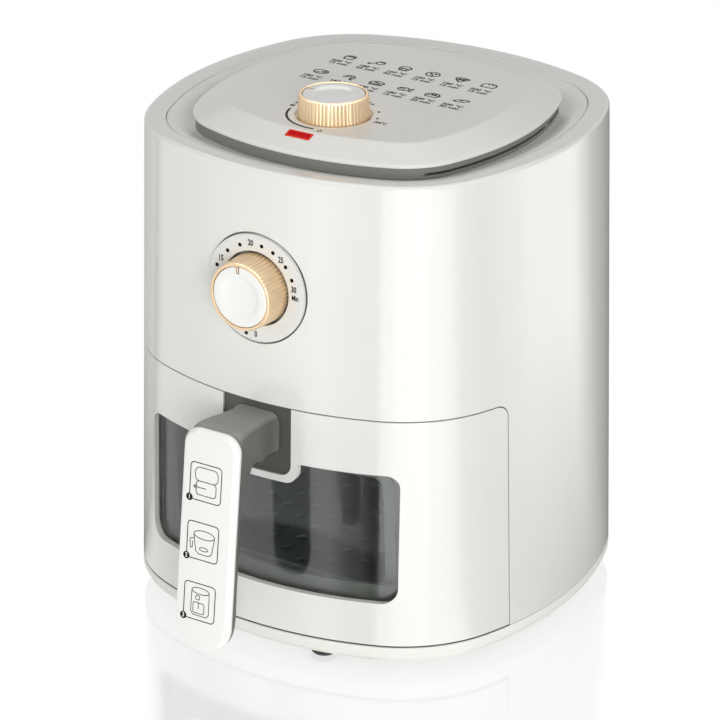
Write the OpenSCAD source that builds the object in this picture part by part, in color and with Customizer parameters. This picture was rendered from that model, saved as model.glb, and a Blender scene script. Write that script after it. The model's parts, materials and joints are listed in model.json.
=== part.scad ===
/* [Body] */
// Width across the sides, at the foot of the drawer
body_w = 277.6; // [270:0.1:290]
// Depth from front to back, at the foot of the drawer
body_d = 276; // [270:0.1:290]
// Height from the foot of the drawer to the rim
body_h = 291; // [288:1:305]
// How far each side leans in between the foot and the rim
body_draft = 7.5; // [6:0.5:9]
// Radius of the long arc that forms each side
side_r = 214; // [205:1:230]
// Radius of the upright corners
corner_r = 83; // [80:1:88]
// Thickness of the moulded outer walls
wall = 3; // [2.6:0.1:3.2]
// Radius of the shoulder at the rim
rim_r = 2.6; // [2:0.1:3]
// Width of the rim, from its edge to the top cover
rim_w = 12.8; // [12:0.1:14]

/* [Base] */
// Height of the drawer's foot above the table
base_h = 18; // [17:0.5:22]
// Height of the upright lip round the base
base_lip_h = 4.8; // [4:0.1:5.5]
// How far the base tucks in under the lip
base_tuck = 12; // [10:0.5:14]
// Radius of the rubber feet
foot_r = 8; // [6:0.5:9]
// Height of the gap under the base
foot_h = 3; // [2.6:0.1:4]
// Distance of the front feet from the middle, sideways
foot_x = 36; // [30:1:60]
// Distance of the front feet from the body's front
foot_in = 22; // [21:0.5:38]
// Distance of the side feet from the body's side
foot_side_in = 21.8; // [21:0.1:38]
// Distance of the back feet from the body's back
foot_back_in = 28; // [24:0.5:48]

/* [Top] */
// How far the plate's edge lies inside the rim's edge
plate_inset = 29; // [28:0.5:32]
// Height of the plate's lower edge above the rim
plate_lift = 0.4; // [0.3:0.1:2]
// Thickness of the plate's thin edge
plate_edge = 2.2; // [2:0.1:3]
// Rise of the plate from its edge to its flat middle
plate_rise = 6.6; // [5:0.1:8]
// Width of the plate's sloping margin
plate_slope_w = 20; // [17:0.5:22]
// Wall of the moulded plate
plate_wall = 2.4; // [2:0.1:2.6]
// Depth of the moat between the rim and the plate
moat_depth = 7; // [6:0.5:8]
// Height of the slot in the air intake
intake_slot = 1.6; // [1.2:0.1:2]
// Length of the indicator lens
lens_l = 18; // [14:0.5:20]
// Width of the indicator lens
lens_w = 8; // [6:0.5:9]
// Distance of the lens's middle from the body's front
lens_in = 52; // [50:0.5:54]

/* [Knobs] */
// Radius of each knob's fluted ring at its base
knob_base_r = 22.4; // [21:0.1:23]
// Radius of each knob's fluted ring at its face
knob_face_r = 20.9; // [20.5:0.1:21.5]
// Height of the timer's knob in front of the dial
timer_knob_h = 16.5; // [14:0.5:18]
// Height of the temperature knob above the plate
temp_knob_h = 13.5; // [12:0.5:16]
// Depth that each knob sinks into its surface
knob_sink = 1.6; // [1:0.1:2]
// Radius of the dished cap in each knob
cap_r = 18.6; // [17:0.1:19]
// Depth of the dish in each cap
cap_dish = 1.4; // [0.8:0.1:2]
// Number of flutes round each ring
flutes = 40; // [30:1:44]
// Depth of the flutes
flute_depth = 0.45; // [0.2:0.05:0.6]
// Radius of both control shafts
control_shaft_r = 3; // [2.5:0.5:3.5]
// Radius of the timer's dial plate
dial_r = 34.1; // [30:0.1:36]
// Height of the dial's centre above the drawer's foot
dial_h = 217.8; // [214:0.1:222]
// How far the dial stands proud of the front
dial_proud = 0.6; // [0.3:0.1:1]
// Distance of the temperature knob in front of the middle
temp_y = 49; // [46:0.5:52]

/* [Drawer] */
// Height of the drawer's front
drawer_h = 146; // [144:0.5:148]
// Distance from the body's centre to the drawer's back edge
drawer_y = 57; // [54:0.5:60]
// Radius of the drawer's upper back corners
drawer_corner_r = 8; // [6:0.5:10]
// Gap of the seam round the drawer
seam = 0.8; // [0.6:0.1:1.2]
// Half width of the window
win_half_w = 89; // [80:0.5:92]
// Height of the window's sill above the drawer's foot
win_sill = 28.5; // [26:0.5:32]
// Height of the window's head above the drawer's foot
win_head = 112; // [108:0.5:114]
// Radius of the window's corners
win_r = 8; // [6:0.5:10]
// Thickness of the window glass
glass_t = 2.5; // [2:0.1:3]
// Half width of the dark plate behind the handle
plinth_half_w = 24; // [22:0.5:26]
// Height of that plate below the drawer's upper edge
plinth_h = 43; // [41:0.5:44]
// Width of the band between that plate and the window
band_w = 4.5; // [4:0.1:6]

/* [Handle] */
// How far the handle's foot stands in front of the body
handle_reach = 59; // [55:0.5:64]
// Height of the handle's foot above the drawer's foot
handle_foot = 7.3; // [5:0.1:10]
// Length of the handle along its lean
handle_l = 137.7; // [134:0.1:139]
// Angle by which the handle's foot leans forward
handle_lean = 6.8; // [5:0.1:8]
// Width of the handle
handle_w = 39.2; // [36:0.1:42]
// Thickness of the handle's light cover
cover_t = 5; // [4.5:0.1:6]
// Thickness of the handle's dark core
core_t = 5.6; // [5:0.1:8]
// Radius of the cover's upper corners
cover_top_r = 11; // [9:0.5:13]
// Radius of the cover's lower corners
cover_foot_r = 18.5; // [16:0.1:19]

/* [Pan] */
// Room from the side of the body to the pan
side_room = 33.8; // [33:0.1:38]
// Room from the front of the body to the pan
front_room = 33; // [32:0.1:36]
// Room from the back of the body to the pan
back_room = 34; // [33:0.1:38]
// Radius of the pan's front corners
pan_front_r = 66; // [64:0.5:70]
// Radius of the pan's back corners
pan_back_r = 50; // [46:0.5:54]
// Height of the pan
pan_h = 112; // [106:0.5:114]
// Wall of the pan
pan_wall = 1.6; // [1.2:0.1:2]
// How far the pan's walls lean in at the bottom
pan_draft = 3.5; // [2:0.1:4]
// Width of the pan's rolled rim
pan_rim = 4.4; // [4:0.1:4.6]
// Height of the crisper plate above the pan's floor
crisper_h = 12; // [10:0.5:15]
// Radius of the holes in the crisper plate
crisper_hole_r = 3.6; // [3:0.1:4]
// Distance between the holes in the crisper plate
crisper_pitch = 17; // [15:0.5:20]

/* [Oven] */
// Gap between the pan's rim and the liner
liner_gap = 1.6; // [1.2:0.1:2.5]
// Thickness of the sheet-metal liner
liner_t = 1; // [0.8:0.1:1.2]
// Height of the liner's roof above the drawer's foot
roof_h = 186; // [184:0.5:190]
// Room from the cavity's wall to the heating element's outer ring
heater_room = 19; // [16:0.5:24]
// Radius of the heating element's tube
heater_tube_r = 3.2; // [2.8:0.1:4]
// Room from the cavity's wall to the convection fan
fan_room = 33; // [30:0.5:40]
// Height of the convection fan's blades
fan_h = 15; // [12:0.5:16]
// Number of blades on the convection fan
fan_blades = 20; // [16:1:24]
// Radius of the cooling fan
cooler_r = 52; // [46:0.5:56]
// Number of blades on the cooling fan
cooler_blades = 11; // [7:1:13]
// Radius of the motor's shaft
motor_shaft_r = 3; // [2.5:0.5:3.5]
// Half width of the vent in the back
vent_half_w = 45; // [40:0.5:50]
// Height of the vent in the back
vent_h = 40; // [36:0.5:44]
// Radius of the hole for the mains lead
lead_r = 3.6; // [3:0.1:4]

/* [Colours] */
// Body and drawer mouldings
body_white = "#ecebe6";
// Rim, top plate and dial
top_grey = "#d0cfc9";
// Handle core, plinth and air intake
handle_grey = "#585a55";
// Fluted knob rings
knob_gold = "#dcb98a";
// Non-stick coating of the pan
pan_black = "#2c2d2e";
// Sheet steel and laminations
steel = "#a9adb0";

/* [Hidden] */

// Clearance between pieces that sit together
fit = 0.3;
// Radial clearance of shafts that turn or slide in their bearings
running = 0.05;
// Overshoot of cutting shapes
eps = 1;
// Facets on round pieces
$fn = 48;
// Steps along half a side and round a corner of the body's outline
side_steps = 4;
corner_steps = 8;

// ---- levels, all above the table ----
foot_z = base_h;
rim_z = foot_z + body_h;
drawer_z0 = foot_z + seam;
drawer_z1 = foot_z + drawer_h;
opening_z1 = drawer_z1 + seam;
dial_z = foot_z + dial_h;
moat_z = rim_z - moat_depth;
plate_z0 = rim_z + plate_lift;
plate_edge_z = plate_z0 + plate_edge;
plate_top_z = plate_edge_z + plate_rise;
roof_z = foot_z + roof_h;
win_z0 = foot_z + win_sill;
win_z1 = foot_z + win_head;
liner_z0 = foot_z + 3;
pan_z0 = liner_z0 + liner_t + 2.5;
pan_z1 = pan_z0 + pan_h;
pan_rim_t = 1.6;

// ---- the pan, the liner round it and the round pieces in its roof ----
pan_half_w = body_w / 2 - side_room;
pan_front = body_d / 2 - front_room;
pan_back = body_d / 2 - back_room;
liner_half_w = pan_half_w + pan_rim + liner_gap;
liner_back = pan_back + pan_rim + liner_gap;
liner_front = pan_front + 3;
liner_step = 8;
liner_front_r = liner_front - drawer_y - 3;
cavity_r = min(liner_half_w - liner_step, liner_front, liner_back);
heater_r = cavity_r - heater_room;
fan_r = cavity_r - fan_room;
guard_r = cavity_r - 5;
reflector_r = cavity_r - 3;
fan_z1 = roof_z - liner_t - 5;
fan_z0 = fan_z1 - fan_h;
heater_z = fan_z0 - 12;
plunger_r = 1.5;

// ---- the body's outline: four side arcs joined by four corner arcs ----
arc_x = side_r - body_w / 2;
arc_y = side_r - body_d / 2;
arc_gap = side_r - corner_r;
arc_m = arc_y / arc_x;
arc_k = (arc_y * arc_y - arc_x * arc_x) / (2 * arc_x);
arc_b = arc_m * arc_k + arc_y;
arc_a = arc_m * arc_m + 1;
corner_cy = (sqrt(arc_b * arc_b - arc_a * (arc_k * arc_k + arc_y * arc_y - arc_gap * arc_gap))
    - arc_b) / arc_a;
corner_cx = arc_m * corner_cy + arc_k;
corner_a0 = atan2(corner_cy, corner_cx + arc_x);
corner_a1 = atan2(corner_cy + arc_y, corner_cx);

function polar(c, r, a) = [c.x + r * cos(a), c.y + r * sin(a)];
function reversed(v) = [for (i = [len(v) - 1 : -1 : 0]) v[i]];
function tail(v) = [for (i = [1 : len(v) - 1]) v[i]];

// One quarter of the outline, moved in by t
function quarter(t) = concat(
    [for (i = [0 : side_steps - 1]) polar([-arc_x, 0], side_r - t, corner_a0 * i / side_steps)],
    [for (i = [0 : corner_steps - 1]) polar([corner_cx, corner_cy], corner_r - t,
        corner_a0 + (corner_a1 - corner_a0) * i / corner_steps)],
    [for (i = [0 : side_steps]) polar([0, -arc_y], side_r - t,
        corner_a1 + (90 - corner_a1) * i / side_steps)]);

// The whole outline, moved in by t
function outline(t) = let (q = quarter(t), back = tail(reversed(q))) concat(
    q,
    [for (p = back) [-p.x, p.y]],
    [for (p = tail(q)) [-p.x, -p.y]],
    [for (i = [0 : len(back) - 2]) [back[i].x, -back[i].y]]);

// How far the leaning side lies inside the outline at height z
function lean(z) = body_draft * (z - foot_z) / body_h;
function front_y(z) = lean(z) - body_d / 2;

// A polygon with rounded corners from a list of [x, y, radius]
function unit(v) = v / norm(v);
function corner(a, p, b, r, n) =
    let (u = unit([a.x - p.x, a.y - p.y]), v = unit([b.x - p.x, b.y - p.y]),
         half = acos(u * v) / 2,
         c = [p.x, p.y] + unit(u + v) * r / sin(half),
         s = [p.x, p.y] + u * r / tan(half) - c,
         e = [p.x, p.y] + v * r / tan(half) - c,
         a0 = atan2(s.y, s.x), d = atan2(s.x * e.y - s.y * e.x, s * e))
    [for (i = [0 : n]) c + r * [cos(a0 + d * i / n), sin(a0 + d * i / n)]];
function rounded(pts, n = 6) = [for (i = [0 : len(pts) - 1])
    let (p = pts[i], a = pts[(i + len(pts) - 1) % len(pts)], b = pts[(i + 1) % len(pts)])
    each (p[2] > 0 ? corner(a, p, b, p[2], n) : [[p.x, p.y]])];
function rect(x0, y0, x1, y1, r) = [[x0, y0, r], [x1, y0, r], [x1, y1, r], [x0, y1, r]];

// ---- skins stretched over rings of points ----
function ring_faces(n, i, k) = [for (j = [0 : n - 1])
    [i * n + j, k * n + j, k * n + (j + 1) % n, i * n + (j + 1) % n]];
// A solid between the first and the last ring
module skin(rings) {
    n = len(rings[0]);
    m = len(rings);
    polyhedron(
        points = [for (r = rings) each r],
        faces = concat(
            [[for (j = [0 : n - 1]) j]],
            [for (i = [0 : m - 2]) each ring_faces(n, i, i + 1)],
            [[for (j = [n - 1 : -1 : 0]) (m - 1) * n + j]]));
}
// A hollow ring whose last ring joins its first
module tube_skin(rings) {
    n = len(rings[0]);
    m = len(rings);
    polyhedron(
        points = [for (r = rings) each r],
        faces = [for (i = [0 : m - 1]) each ring_faces(n, i, (i + 1) % m)]);
}
function body_rings(profile) = [for (p = profile) [for (q = outline(p[0])) [q.x, q.y, p[1]]]];

// The body is modelled about its own centre and set so that the whole appliance is centred
centre_y = handle_reach / 2;
module in_place() { translate([0, centre_y, 0]) children(); }
// A shape drawn in x and z, stretched along y from y0 to y1
module across(y0, y1) {
    translate([0, y1, 0]) rotate([90, 0, 0]) linear_extrude(y1 - y0) children();
}
// A shape drawn in y and z, stretched along x from x0 to x1
module along(x0, x1) {
    translate([x0, 0, 0]) rotate([90, 0, 90]) linear_extrude(x1 - x0) children();
}
module slab(x0, x1, y0, y1, z0, z1) {
    translate([x0, y0, z0]) cube([x1 - x0, y1 - y0, z1 - z0]);
}
module both_sides() { children(); mirror([1, 0, 0]) children(); }

// ---- outer housing ----
shoulder = [for (a = [0 : 22.5 : 90]) [body_draft + rim_r * (1 - cos(a)), rim_z - rim_r * (1 - sin(a))]];
cover_t0 = body_draft + rim_w;
rim_fall = 1.2;
rim_lip_z = rim_z - rim_fall - wall;
housing_profile = concat([[0, foot_z]], shoulder, [
    [cover_t0, rim_z - rim_fall], [cover_t0, rim_lip_z],
    [body_draft + wall + rim_r, rim_lip_z], [lean(rim_lip_z - rim_r) + wall, rim_lip_z - rim_r],
    [wall, foot_z]]);

// Side view of the space that the drawer's front fills, grown by g
module drawer_side(g) {
    far = body_d;
    polygon(rounded([
        [-far, drawer_z0 - g, 0], [-drawer_y + g, drawer_z0 - g, 0],
        [-drawer_y + g, drawer_z1 + g, drawer_corner_r + g], [-far, drawer_z1 + g, 0]]));
}

dial_front_y = front_y(dial_z) - dial_proud;
dial_t = 3.5;
dial_seat_y = dial_front_y + dial_t + fit;
dial_boss_t = 4;
knob_hole_r = knob_base_r + 1.2;
shaft_hole_r = control_shaft_r + 2;
vent_z = roof_z - 34;
gland_x = 60;
gland_z = foot_z + 26;
gland_half_w = 7;
gland_corner_r = 3;

module outer_housing() color(body_white) in_place() difference() {
    union() {
        tube_skin(body_rings(housing_profile));
        translate([0, dial_seat_y, dial_z]) rotate([-90, 0, 0]) cylinder(r = dial_r + 2, h = dial_boss_t);
    }
    along(-body_w, body_w) drawer_side(seam);
    slab(-body_w, body_w, -body_d, seam - drawer_y, foot_z - eps, drawer_z0);
    translate([0, dial_seat_y, dial_z]) rotate([90, 0, 0]) cylinder(r = dial_r + fit, h = 20);
    translate([0, dial_seat_y + 20, dial_z]) rotate([90, 0, 0]) cylinder(r = shaft_hole_r, h = 40);
    across(body_d / 2 - 20, body_d / 2 + eps)
        polygon(rounded(rect(-vent_half_w, vent_z, vent_half_w, vent_z + vent_h, 6)));
    slab(gland_x - gland_half_w - fit, gland_x + gland_half_w + fit, 0, body_d, foot_z - eps,
        gland_z + gland_half_w + fit);
}

// ---- top cover: the moat that leads air in under the plate ----
plate_t0 = body_draft + plate_inset;
pedestal_t = plate_t0 + 1.6;
pedestal_wall = 2.6;
cover_wall = 2.2;
cover_edge_t = cover_t0 + fit;
cover_fall = 0.6;
module top_cover() color(top_grey) in_place() difference() {
    tube_skin(body_rings([
        [cover_edge_t, rim_z - rim_fall - cover_fall],
        [cover_edge_t + 5, rim_z - rim_fall - 2], [cover_edge_t + 10, moat_z + 1.6],
        [plate_t0 - 2, moat_z + 0.3], [pedestal_t, moat_z], [pedestal_t + 26, moat_z],
        [pedestal_t + 26, moat_z - cover_wall], [plate_t0 - 3, moat_z - cover_wall],
        [cover_edge_t + 9, moat_z + 1.6 - cover_wall - 1], [cover_edge_t + 2.4, rim_lip_z - 3.2],
        [cover_t0 - 5, rim_lip_z - 3.2], [cover_t0 - 5, rim_lip_z - fit],
        [cover_edge_t, rim_lip_z - fit]]));
    for (p = panel_posts) translate([p.x, p.y, 0]) cylinder(r = post_screw_r, h = rim_z + eps);
}

// ---- air intake under the plate ----
panel_posts = [for (sx = [-1, 1], sy = [-1, 1]) [sx * 64, sy * 64]];
post_r = 5;
post_screw_r = 1.6;
slot_z = moat_z + 2.2;
module intake_grille() color(handle_grey) in_place() difference() {
    tube_skin(body_rings([
        [pedestal_t, moat_z + fit], [pedestal_t, plate_z0 - fit],
        [pedestal_t + pedestal_wall, plate_z0 - fit], [pedestal_t + pedestal_wall, moat_z + 2],
        [pedestal_t + 7, moat_z + 2], [pedestal_t + 7, moat_z + fit]]));
    difference() {
        translate([0, 0, slot_z]) linear_extrude(intake_slot) difference() {
            polygon(outline(pedestal_t - 4));
            polygon(outline(pedestal_t + pedestal_wall + 0.5));
        }
        // webs that carry the upper part, and the closed front
        for (a = [0 : 30 : 330]) rotate(a) slab(60, body_w / 2, -2, 2, slot_z - eps, slot_z + 5);
        slab(-body_w / 2, 18, -body_d / 2, -60, slot_z - eps, slot_z + 5);
    }
}

// ---- top plate ----
slope_t = plate_t0 + plate_slope_w;
plate_profile = [
    [plate_t0 + 0.5, plate_z0], [plate_t0, plate_z0 + 0.6], [plate_t0, plate_edge_z - 0.8],
    [plate_t0 + 0.5, plate_edge_z - 0.1], [plate_t0 + 1.6, plate_edge_z + 0.5],
    [plate_t0 + plate_slope_w * 0.35, plate_edge_z + plate_rise * 0.47],
    [plate_t0 + plate_slope_w * 0.65, plate_edge_z + plate_rise * 0.78],
    [plate_t0 + plate_slope_w * 0.88, plate_edge_z + plate_rise * 0.95],
    [slope_t + 2, plate_top_z]];
temp_seat_z = plate_top_z - knob_sink - 0.6;
// Height of the plate's surface where the outline is moved in by t
function plate_z(t) = lookup(t, [for (i = [3 : len(plate_profile) - 1]) plate_profile[i]]);
lens_t = lens_in;
lens_y = body_d / 2 - lens_in;
lens_slope = atan2(plate_z(lens_t + lens_w / 2) - plate_z(lens_t - lens_w / 2), lens_w);
module lens_frame() { translate([0, -lens_y, plate_z(lens_t)]) rotate([lens_slope, 0, 0]) children(); }
module top_panel() color(top_grey) in_place() difference() {
    union() {
        difference() {
            skin(body_rings(plate_profile));
            skin(body_rings([
                [plate_t0 + plate_wall + 1.4, plate_z0 - eps], [plate_t0 + plate_wall + 1.4, plate_z0 + 0.6],
                [plate_t0 + plate_slope_w * 0.5, plate_edge_z + plate_rise * 0.6 - plate_wall],
                [slope_t + 2, plate_top_z - plate_wall]]));
        }
        for (p = panel_posts) translate([p.x, p.y, moat_z + fit])
            cylinder(r = post_r, h = plate_top_z - plate_wall / 2 - moat_z - fit);
        translate([0, -temp_y, temp_seat_z - plate_wall])
            cylinder(r = knob_hole_r + 2, h = plate_top_z - temp_seat_z + plate_wall / 2);
    }
    translate([0, -temp_y, temp_seat_z]) cylinder(r = knob_hole_r, h = 10);
    translate([0, -temp_y, temp_seat_z - 10]) cylinder(r = shaft_hole_r, h = 20);
    lens_frame() slab(-lens_l / 2 - fit, lens_l / 2 + fit, -lens_w / 2 - fit, lens_w / 2 + fit, -8, 5);
    for (p = panel_posts) translate([p.x, p.y, moat_z - eps]) cylinder(r = post_screw_r, h = 10);
}

lens_depth = plate_wall + 1.5;
module indicator_lens() color("#d4201c") in_place() lens_frame() {
    slab(-lens_l / 2, lens_l / 2, -lens_w / 2, lens_w / 2, -lens_depth, 0.2);
    slab(-lens_l / 2 - 1.5, lens_l / 2 + 1.5, -lens_w / 2 - 1.5, lens_w / 2 + 1.5,
        -lens_depth - 1.6, -lens_depth);
}

lamp_r = 2.6;
module indicator_lamp() color("#e8a070") in_place() lens_frame() {
    translate([0, 0, -lens_depth - 1.6 - fit - lamp_r]) rotate([0, 90, 0])
        cylinder(r = lamp_r, h = lens_l - 4, center = true);
}

// ---- timer ----
module about_dial() { translate([0, 0, dial_z]) children(); }
timer_r = 25;
timer_front_y = dial_seat_y + dial_boss_t + fit;
timer_l = 26;
module dial_plate() color(top_grey) in_place() about_dial() {
    translate([0, dial_front_y, 0]) rotate([-90, 0, 0]) difference() {
        cylinder(r = dial_r, h = dial_t, $fn = 96);
        translate([0, 0, -eps]) cylinder(r = knob_hole_r, h = dial_t + 2 * eps);
    }
}
module timer_body() color(steel) in_place() about_dial() difference() {
    union() {
        slab(-29, 29, timer_front_y, timer_front_y + 1.5, -20, 20);
        translate([0, timer_front_y, 0]) rotate([-90, 0, 0]) cylinder(r = timer_r, h = timer_l);
        for (x = [-12, 4]) slab(x, x + 8, timer_front_y + timer_l - 12, timer_front_y + timer_l - 4,
            timer_r - 3, timer_r + 6);
    }
    translate([0, timer_front_y - eps, 0]) rotate([-90, 0, 0])
        cylinder(r = control_shaft_r + running, h = timer_l * 0.7);
    for (x = [-25, 25]) translate([x, timer_front_y - eps, 14]) rotate([-90, 0, 0]) cylinder(r = 1.8, h = 5);
}
module timer_bell() color(steel) in_place() about_dial() {
    translate([0, timer_front_y + timer_l + fit, 0]) rotate([-90, 0, 0]) difference() {
        rotate_extrude() polygon([[0, 0], [5, 0], [5, 4], [19, 4], [19.5, 1], [21, 1], [20, 6], [0, 8]]);
    }
}
// Distance of a control shaft's flat from its axis, and the flat's length
flat_y = control_shaft_r * 0.55;
flat_l = 9;
module control_shaft(l) {
    difference() {
        cylinder(r = control_shaft_r, h = l);
        translate([-5, flat_y, l - flat_l]) cube([10, 5, flat_l + eps]);
    }
}
timer_back_y = dial_front_y + knob_sink;
timer_face_y = dial_front_y - timer_knob_h;
cap_t = 3;
timer_shaft_y0 = timer_front_y + timer_l * 0.6;
module timer_shaft() color(steel) in_place() about_dial() {
    translate([0, timer_shaft_y0, 0]) rotate([0, timer_mark_a, 0]) rotate([90, 0, 0])
        control_shaft(timer_shaft_y0 - timer_face_y - cap_t - 0.5);
}

// ---- knob pieces of length l, built upward from the back of the knob ----
timer_knob_l = timer_knob_h + knob_sink;
temp_knob_l = temp_knob_h + knob_sink;
hub_r = control_shaft_r + 2.6;
bore_r = control_shaft_r + running;
flute_w = 1.3;
module knob_ring(l) {
    taper = atan2(knob_base_r - knob_face_r, l);
    difference() {
        rotate_extrude($fn = 96) polygon([[cap_r + fit, 0], [knob_base_r, 0], [knob_face_r + 0.2, l - 1.2],
            [knob_face_r - 0.6, l], [cap_r + fit, l]]);
        for (i = [1 : flutes]) rotate(i * 360 / flutes)
            translate([knob_base_r - flute_depth, -flute_w / 2, -eps]) rotate([0, -taper, 0])
                cube([3, flute_w, l + 3 * eps]);
    }
}
pointer_l = 5;
pointer_w = 1.2;
pointer_t = 1.1;
module knob_cap(l) {
    web_z = l - cap_t - cap_dish;
    lip_z = l - 0.2;
    difference() {
        union() {
            rotate_extrude() polygon(concat(
                [[0, web_z], [cap_r - 2, web_z], [cap_r - 2, 1], [cap_r, 1], [cap_r, lip_z - 0.4],
                    [cap_r - 0.6, lip_z], [cap_r - 1.6, lip_z]],
                [for (i = [1 : 6]) [(cap_r - 1.6) * cos(i * 15), lip_z - cap_dish * sin(i * 15)]]));
            translate([0, 0, 1]) cylinder(r = hub_r, h = web_z);
        }
        difference() {
            translate([0, 0, -eps]) cylinder(r = bore_r, h = l - cap_t - 0.4 + eps);
            translate([-5, flat_y + 2 * running, l - cap_t - flat_l]) cube([10, 5, flat_l]);
        }
        translate([-pointer_w / 2 - running, cap_r - pointer_l, l - pointer_t - 0.1])
            cube([pointer_w + 2 * running, pointer_l + eps, 2 * pointer_t]);
    }
}
module knob_pointer(l) {
    translate([-pointer_w / 2, cap_r - pointer_l + 0.1, l - pointer_t - running])
        cube([pointer_w, pointer_l - 0.3, pointer_t]);
}
// The timer's knob faces forward and points at the 20 minute mark
timer_mark_a = -6.6;
module timer_knob() {
    about_dial() translate([0, timer_back_y, 0]) rotate([0, timer_mark_a, 0]) rotate([90, 0, 0]) children();
}
// The temperature knob faces up and points at the lowest setting
temp_back_z = plate_top_z - knob_sink;
module temp_knob() { translate([0, -temp_y, temp_back_z]) rotate([0, 0, 90]) children(); }

module timer_knob_ring() color(knob_gold) in_place() timer_knob() knob_ring(timer_knob_l);
module timer_knob_cap() color(body_white) in_place() timer_knob() knob_cap(timer_knob_l);
module timer_pointer() color(knob_gold) in_place() timer_knob() knob_pointer(timer_knob_l);
module temp_knob_ring() color(knob_gold) in_place() temp_knob() knob_ring(temp_knob_l);
module temp_knob_cap() color(body_white) in_place() temp_knob() knob_cap(temp_knob_l);
module temp_pointer() color(knob_gold) in_place() temp_knob() knob_pointer(temp_knob_l);

// ---- thermostat ----
stat_r = 16;
stat_h = 16;
stat_z1 = temp_seat_z - plate_wall - fit;
bulb_x = pan_half_w - 13;
bulb_r = 2.6;
capillary_r = 1.1;
capillary_y = 9 - temp_y;
capillary_z = stat_z1 - stat_h - 11;
bulb_l = 34;
bulb_z1 = roof_z - liner_t - 3;
module thermostat_body() color(steel) in_place() translate([0, -temp_y, 0]) difference() {
    union() {
        translate([0, 0, stat_z1 - stat_h]) cylinder(r = stat_r, h = stat_h);
        slab(-20, 20, -6, 6, stat_z1 - 1.5, stat_z1);
        for (s = [-1, 1]) slab(s * 9 - 3, s * 9 + 3, -2, 2, stat_z1 - stat_h - 6, stat_z1 - stat_h + 1);
    }
    translate([0, 0, stat_z1 - stat_h * 0.7]) cylinder(r = control_shaft_r + running, h = stat_h);
}
module temp_shaft() color(steel) in_place() translate([0, -temp_y, stat_z1 - stat_h * 0.65]) rotate(90)
    control_shaft(temp_back_z + temp_knob_l - cap_t - 0.5 - stat_z1 + stat_h * 0.65);
module capillary_run(h) { cylinder(r = capillary_r, h = h); sphere(r = capillary_r); }
module thermostat_bulb() color("#b87a4a") in_place() {
    translate([0, capillary_y, capillary_z]) capillary_run(stat_z1 - stat_h - fit - capillary_z);
    translate([0, capillary_y, capillary_z]) rotate([0, 90, 0]) cylinder(r = capillary_r, h = bulb_x);
    translate([bulb_x, capillary_y, capillary_z]) mirror([0, 0, 1]) capillary_run(capillary_z - bulb_z1 + 1);
    translate([bulb_x, capillary_y, bulb_z1 - bulb_l]) cylinder(r = bulb_r, h = bulb_l);
}

// ---- base ----
base_floor = 2.4;
post_x = pan_half_w - 27;
post_ys = [-40, pan_back - 12];
posts = [for (x = [-post_x, post_x], y = post_ys) [x, y, 0]];
feet = [for (s = [-1, 1]) each
    [[s * foot_x, foot_in - body_d / 2, 0], [s * (body_w / 2 - foot_side_in), 4, 0],
        [s * foot_x, body_d / 2 - foot_back_in, 0]]];
module base_pan() color(body_white) in_place() difference() {
    union() {
        difference() {
            skin(body_rings([
                [base_tuck, foot_h], [base_tuck * 0.62, foot_h + 1.1], [base_tuck * 0.36, foot_h + 3.4],
                [base_tuck * 0.18, foot_h + 6.2], [base_tuck * 0.1, foot_z - fit - base_lip_h - 0.5],
                [0, foot_z - fit - base_lip_h], [0, foot_z - fit]]));
            skin(body_rings([
                [base_tuck + 2, foot_h + base_floor], [base_tuck * 0.5 + 2.5, foot_h + 5],
                [wall + 0.6, foot_z - 4], [wall + 0.6, foot_z + eps]]));
        }
        for (p = posts) translate(p + [0, 0, foot_h])
            cylinder(r = 6, h = liner_z0 - fit - foot_h);
    }
    for (p = feet) translate(p + [0, 0, foot_h - eps])
        cylinder(r = foot_r + 0.1, h = eps + 1.2);
    for (p = posts) translate(p + [0, 0, foot_h + 3])
        cylinder(r = 2.1, h = 30);
    for (x = [-40 : 10 : 40]) slab(x - 2, x + 2, -30, 30, 0, foot_h + base_floor + 0.5);
}
module rubber_feet() color("#2a2a2a") in_place()
    for (p = feet) translate(p) {
        cylinder(r1 = foot_r - 1, r2 = foot_r, h = 1);
        translate([0, 0, 1]) cylinder(r = foot_r, h = foot_h);
    }
screw_head_r = 3.4;
module base_screws() color(steel) in_place()
    for (p = posts) translate(p) {
        translate([0, 0, liner_z0 + liner_t + 0.1]) cylinder(r = screw_head_r, h = 1.2);
        translate([0, 0, liner_z0 - 8]) cylinder(r = 2, h = 9.2);
    }

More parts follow.
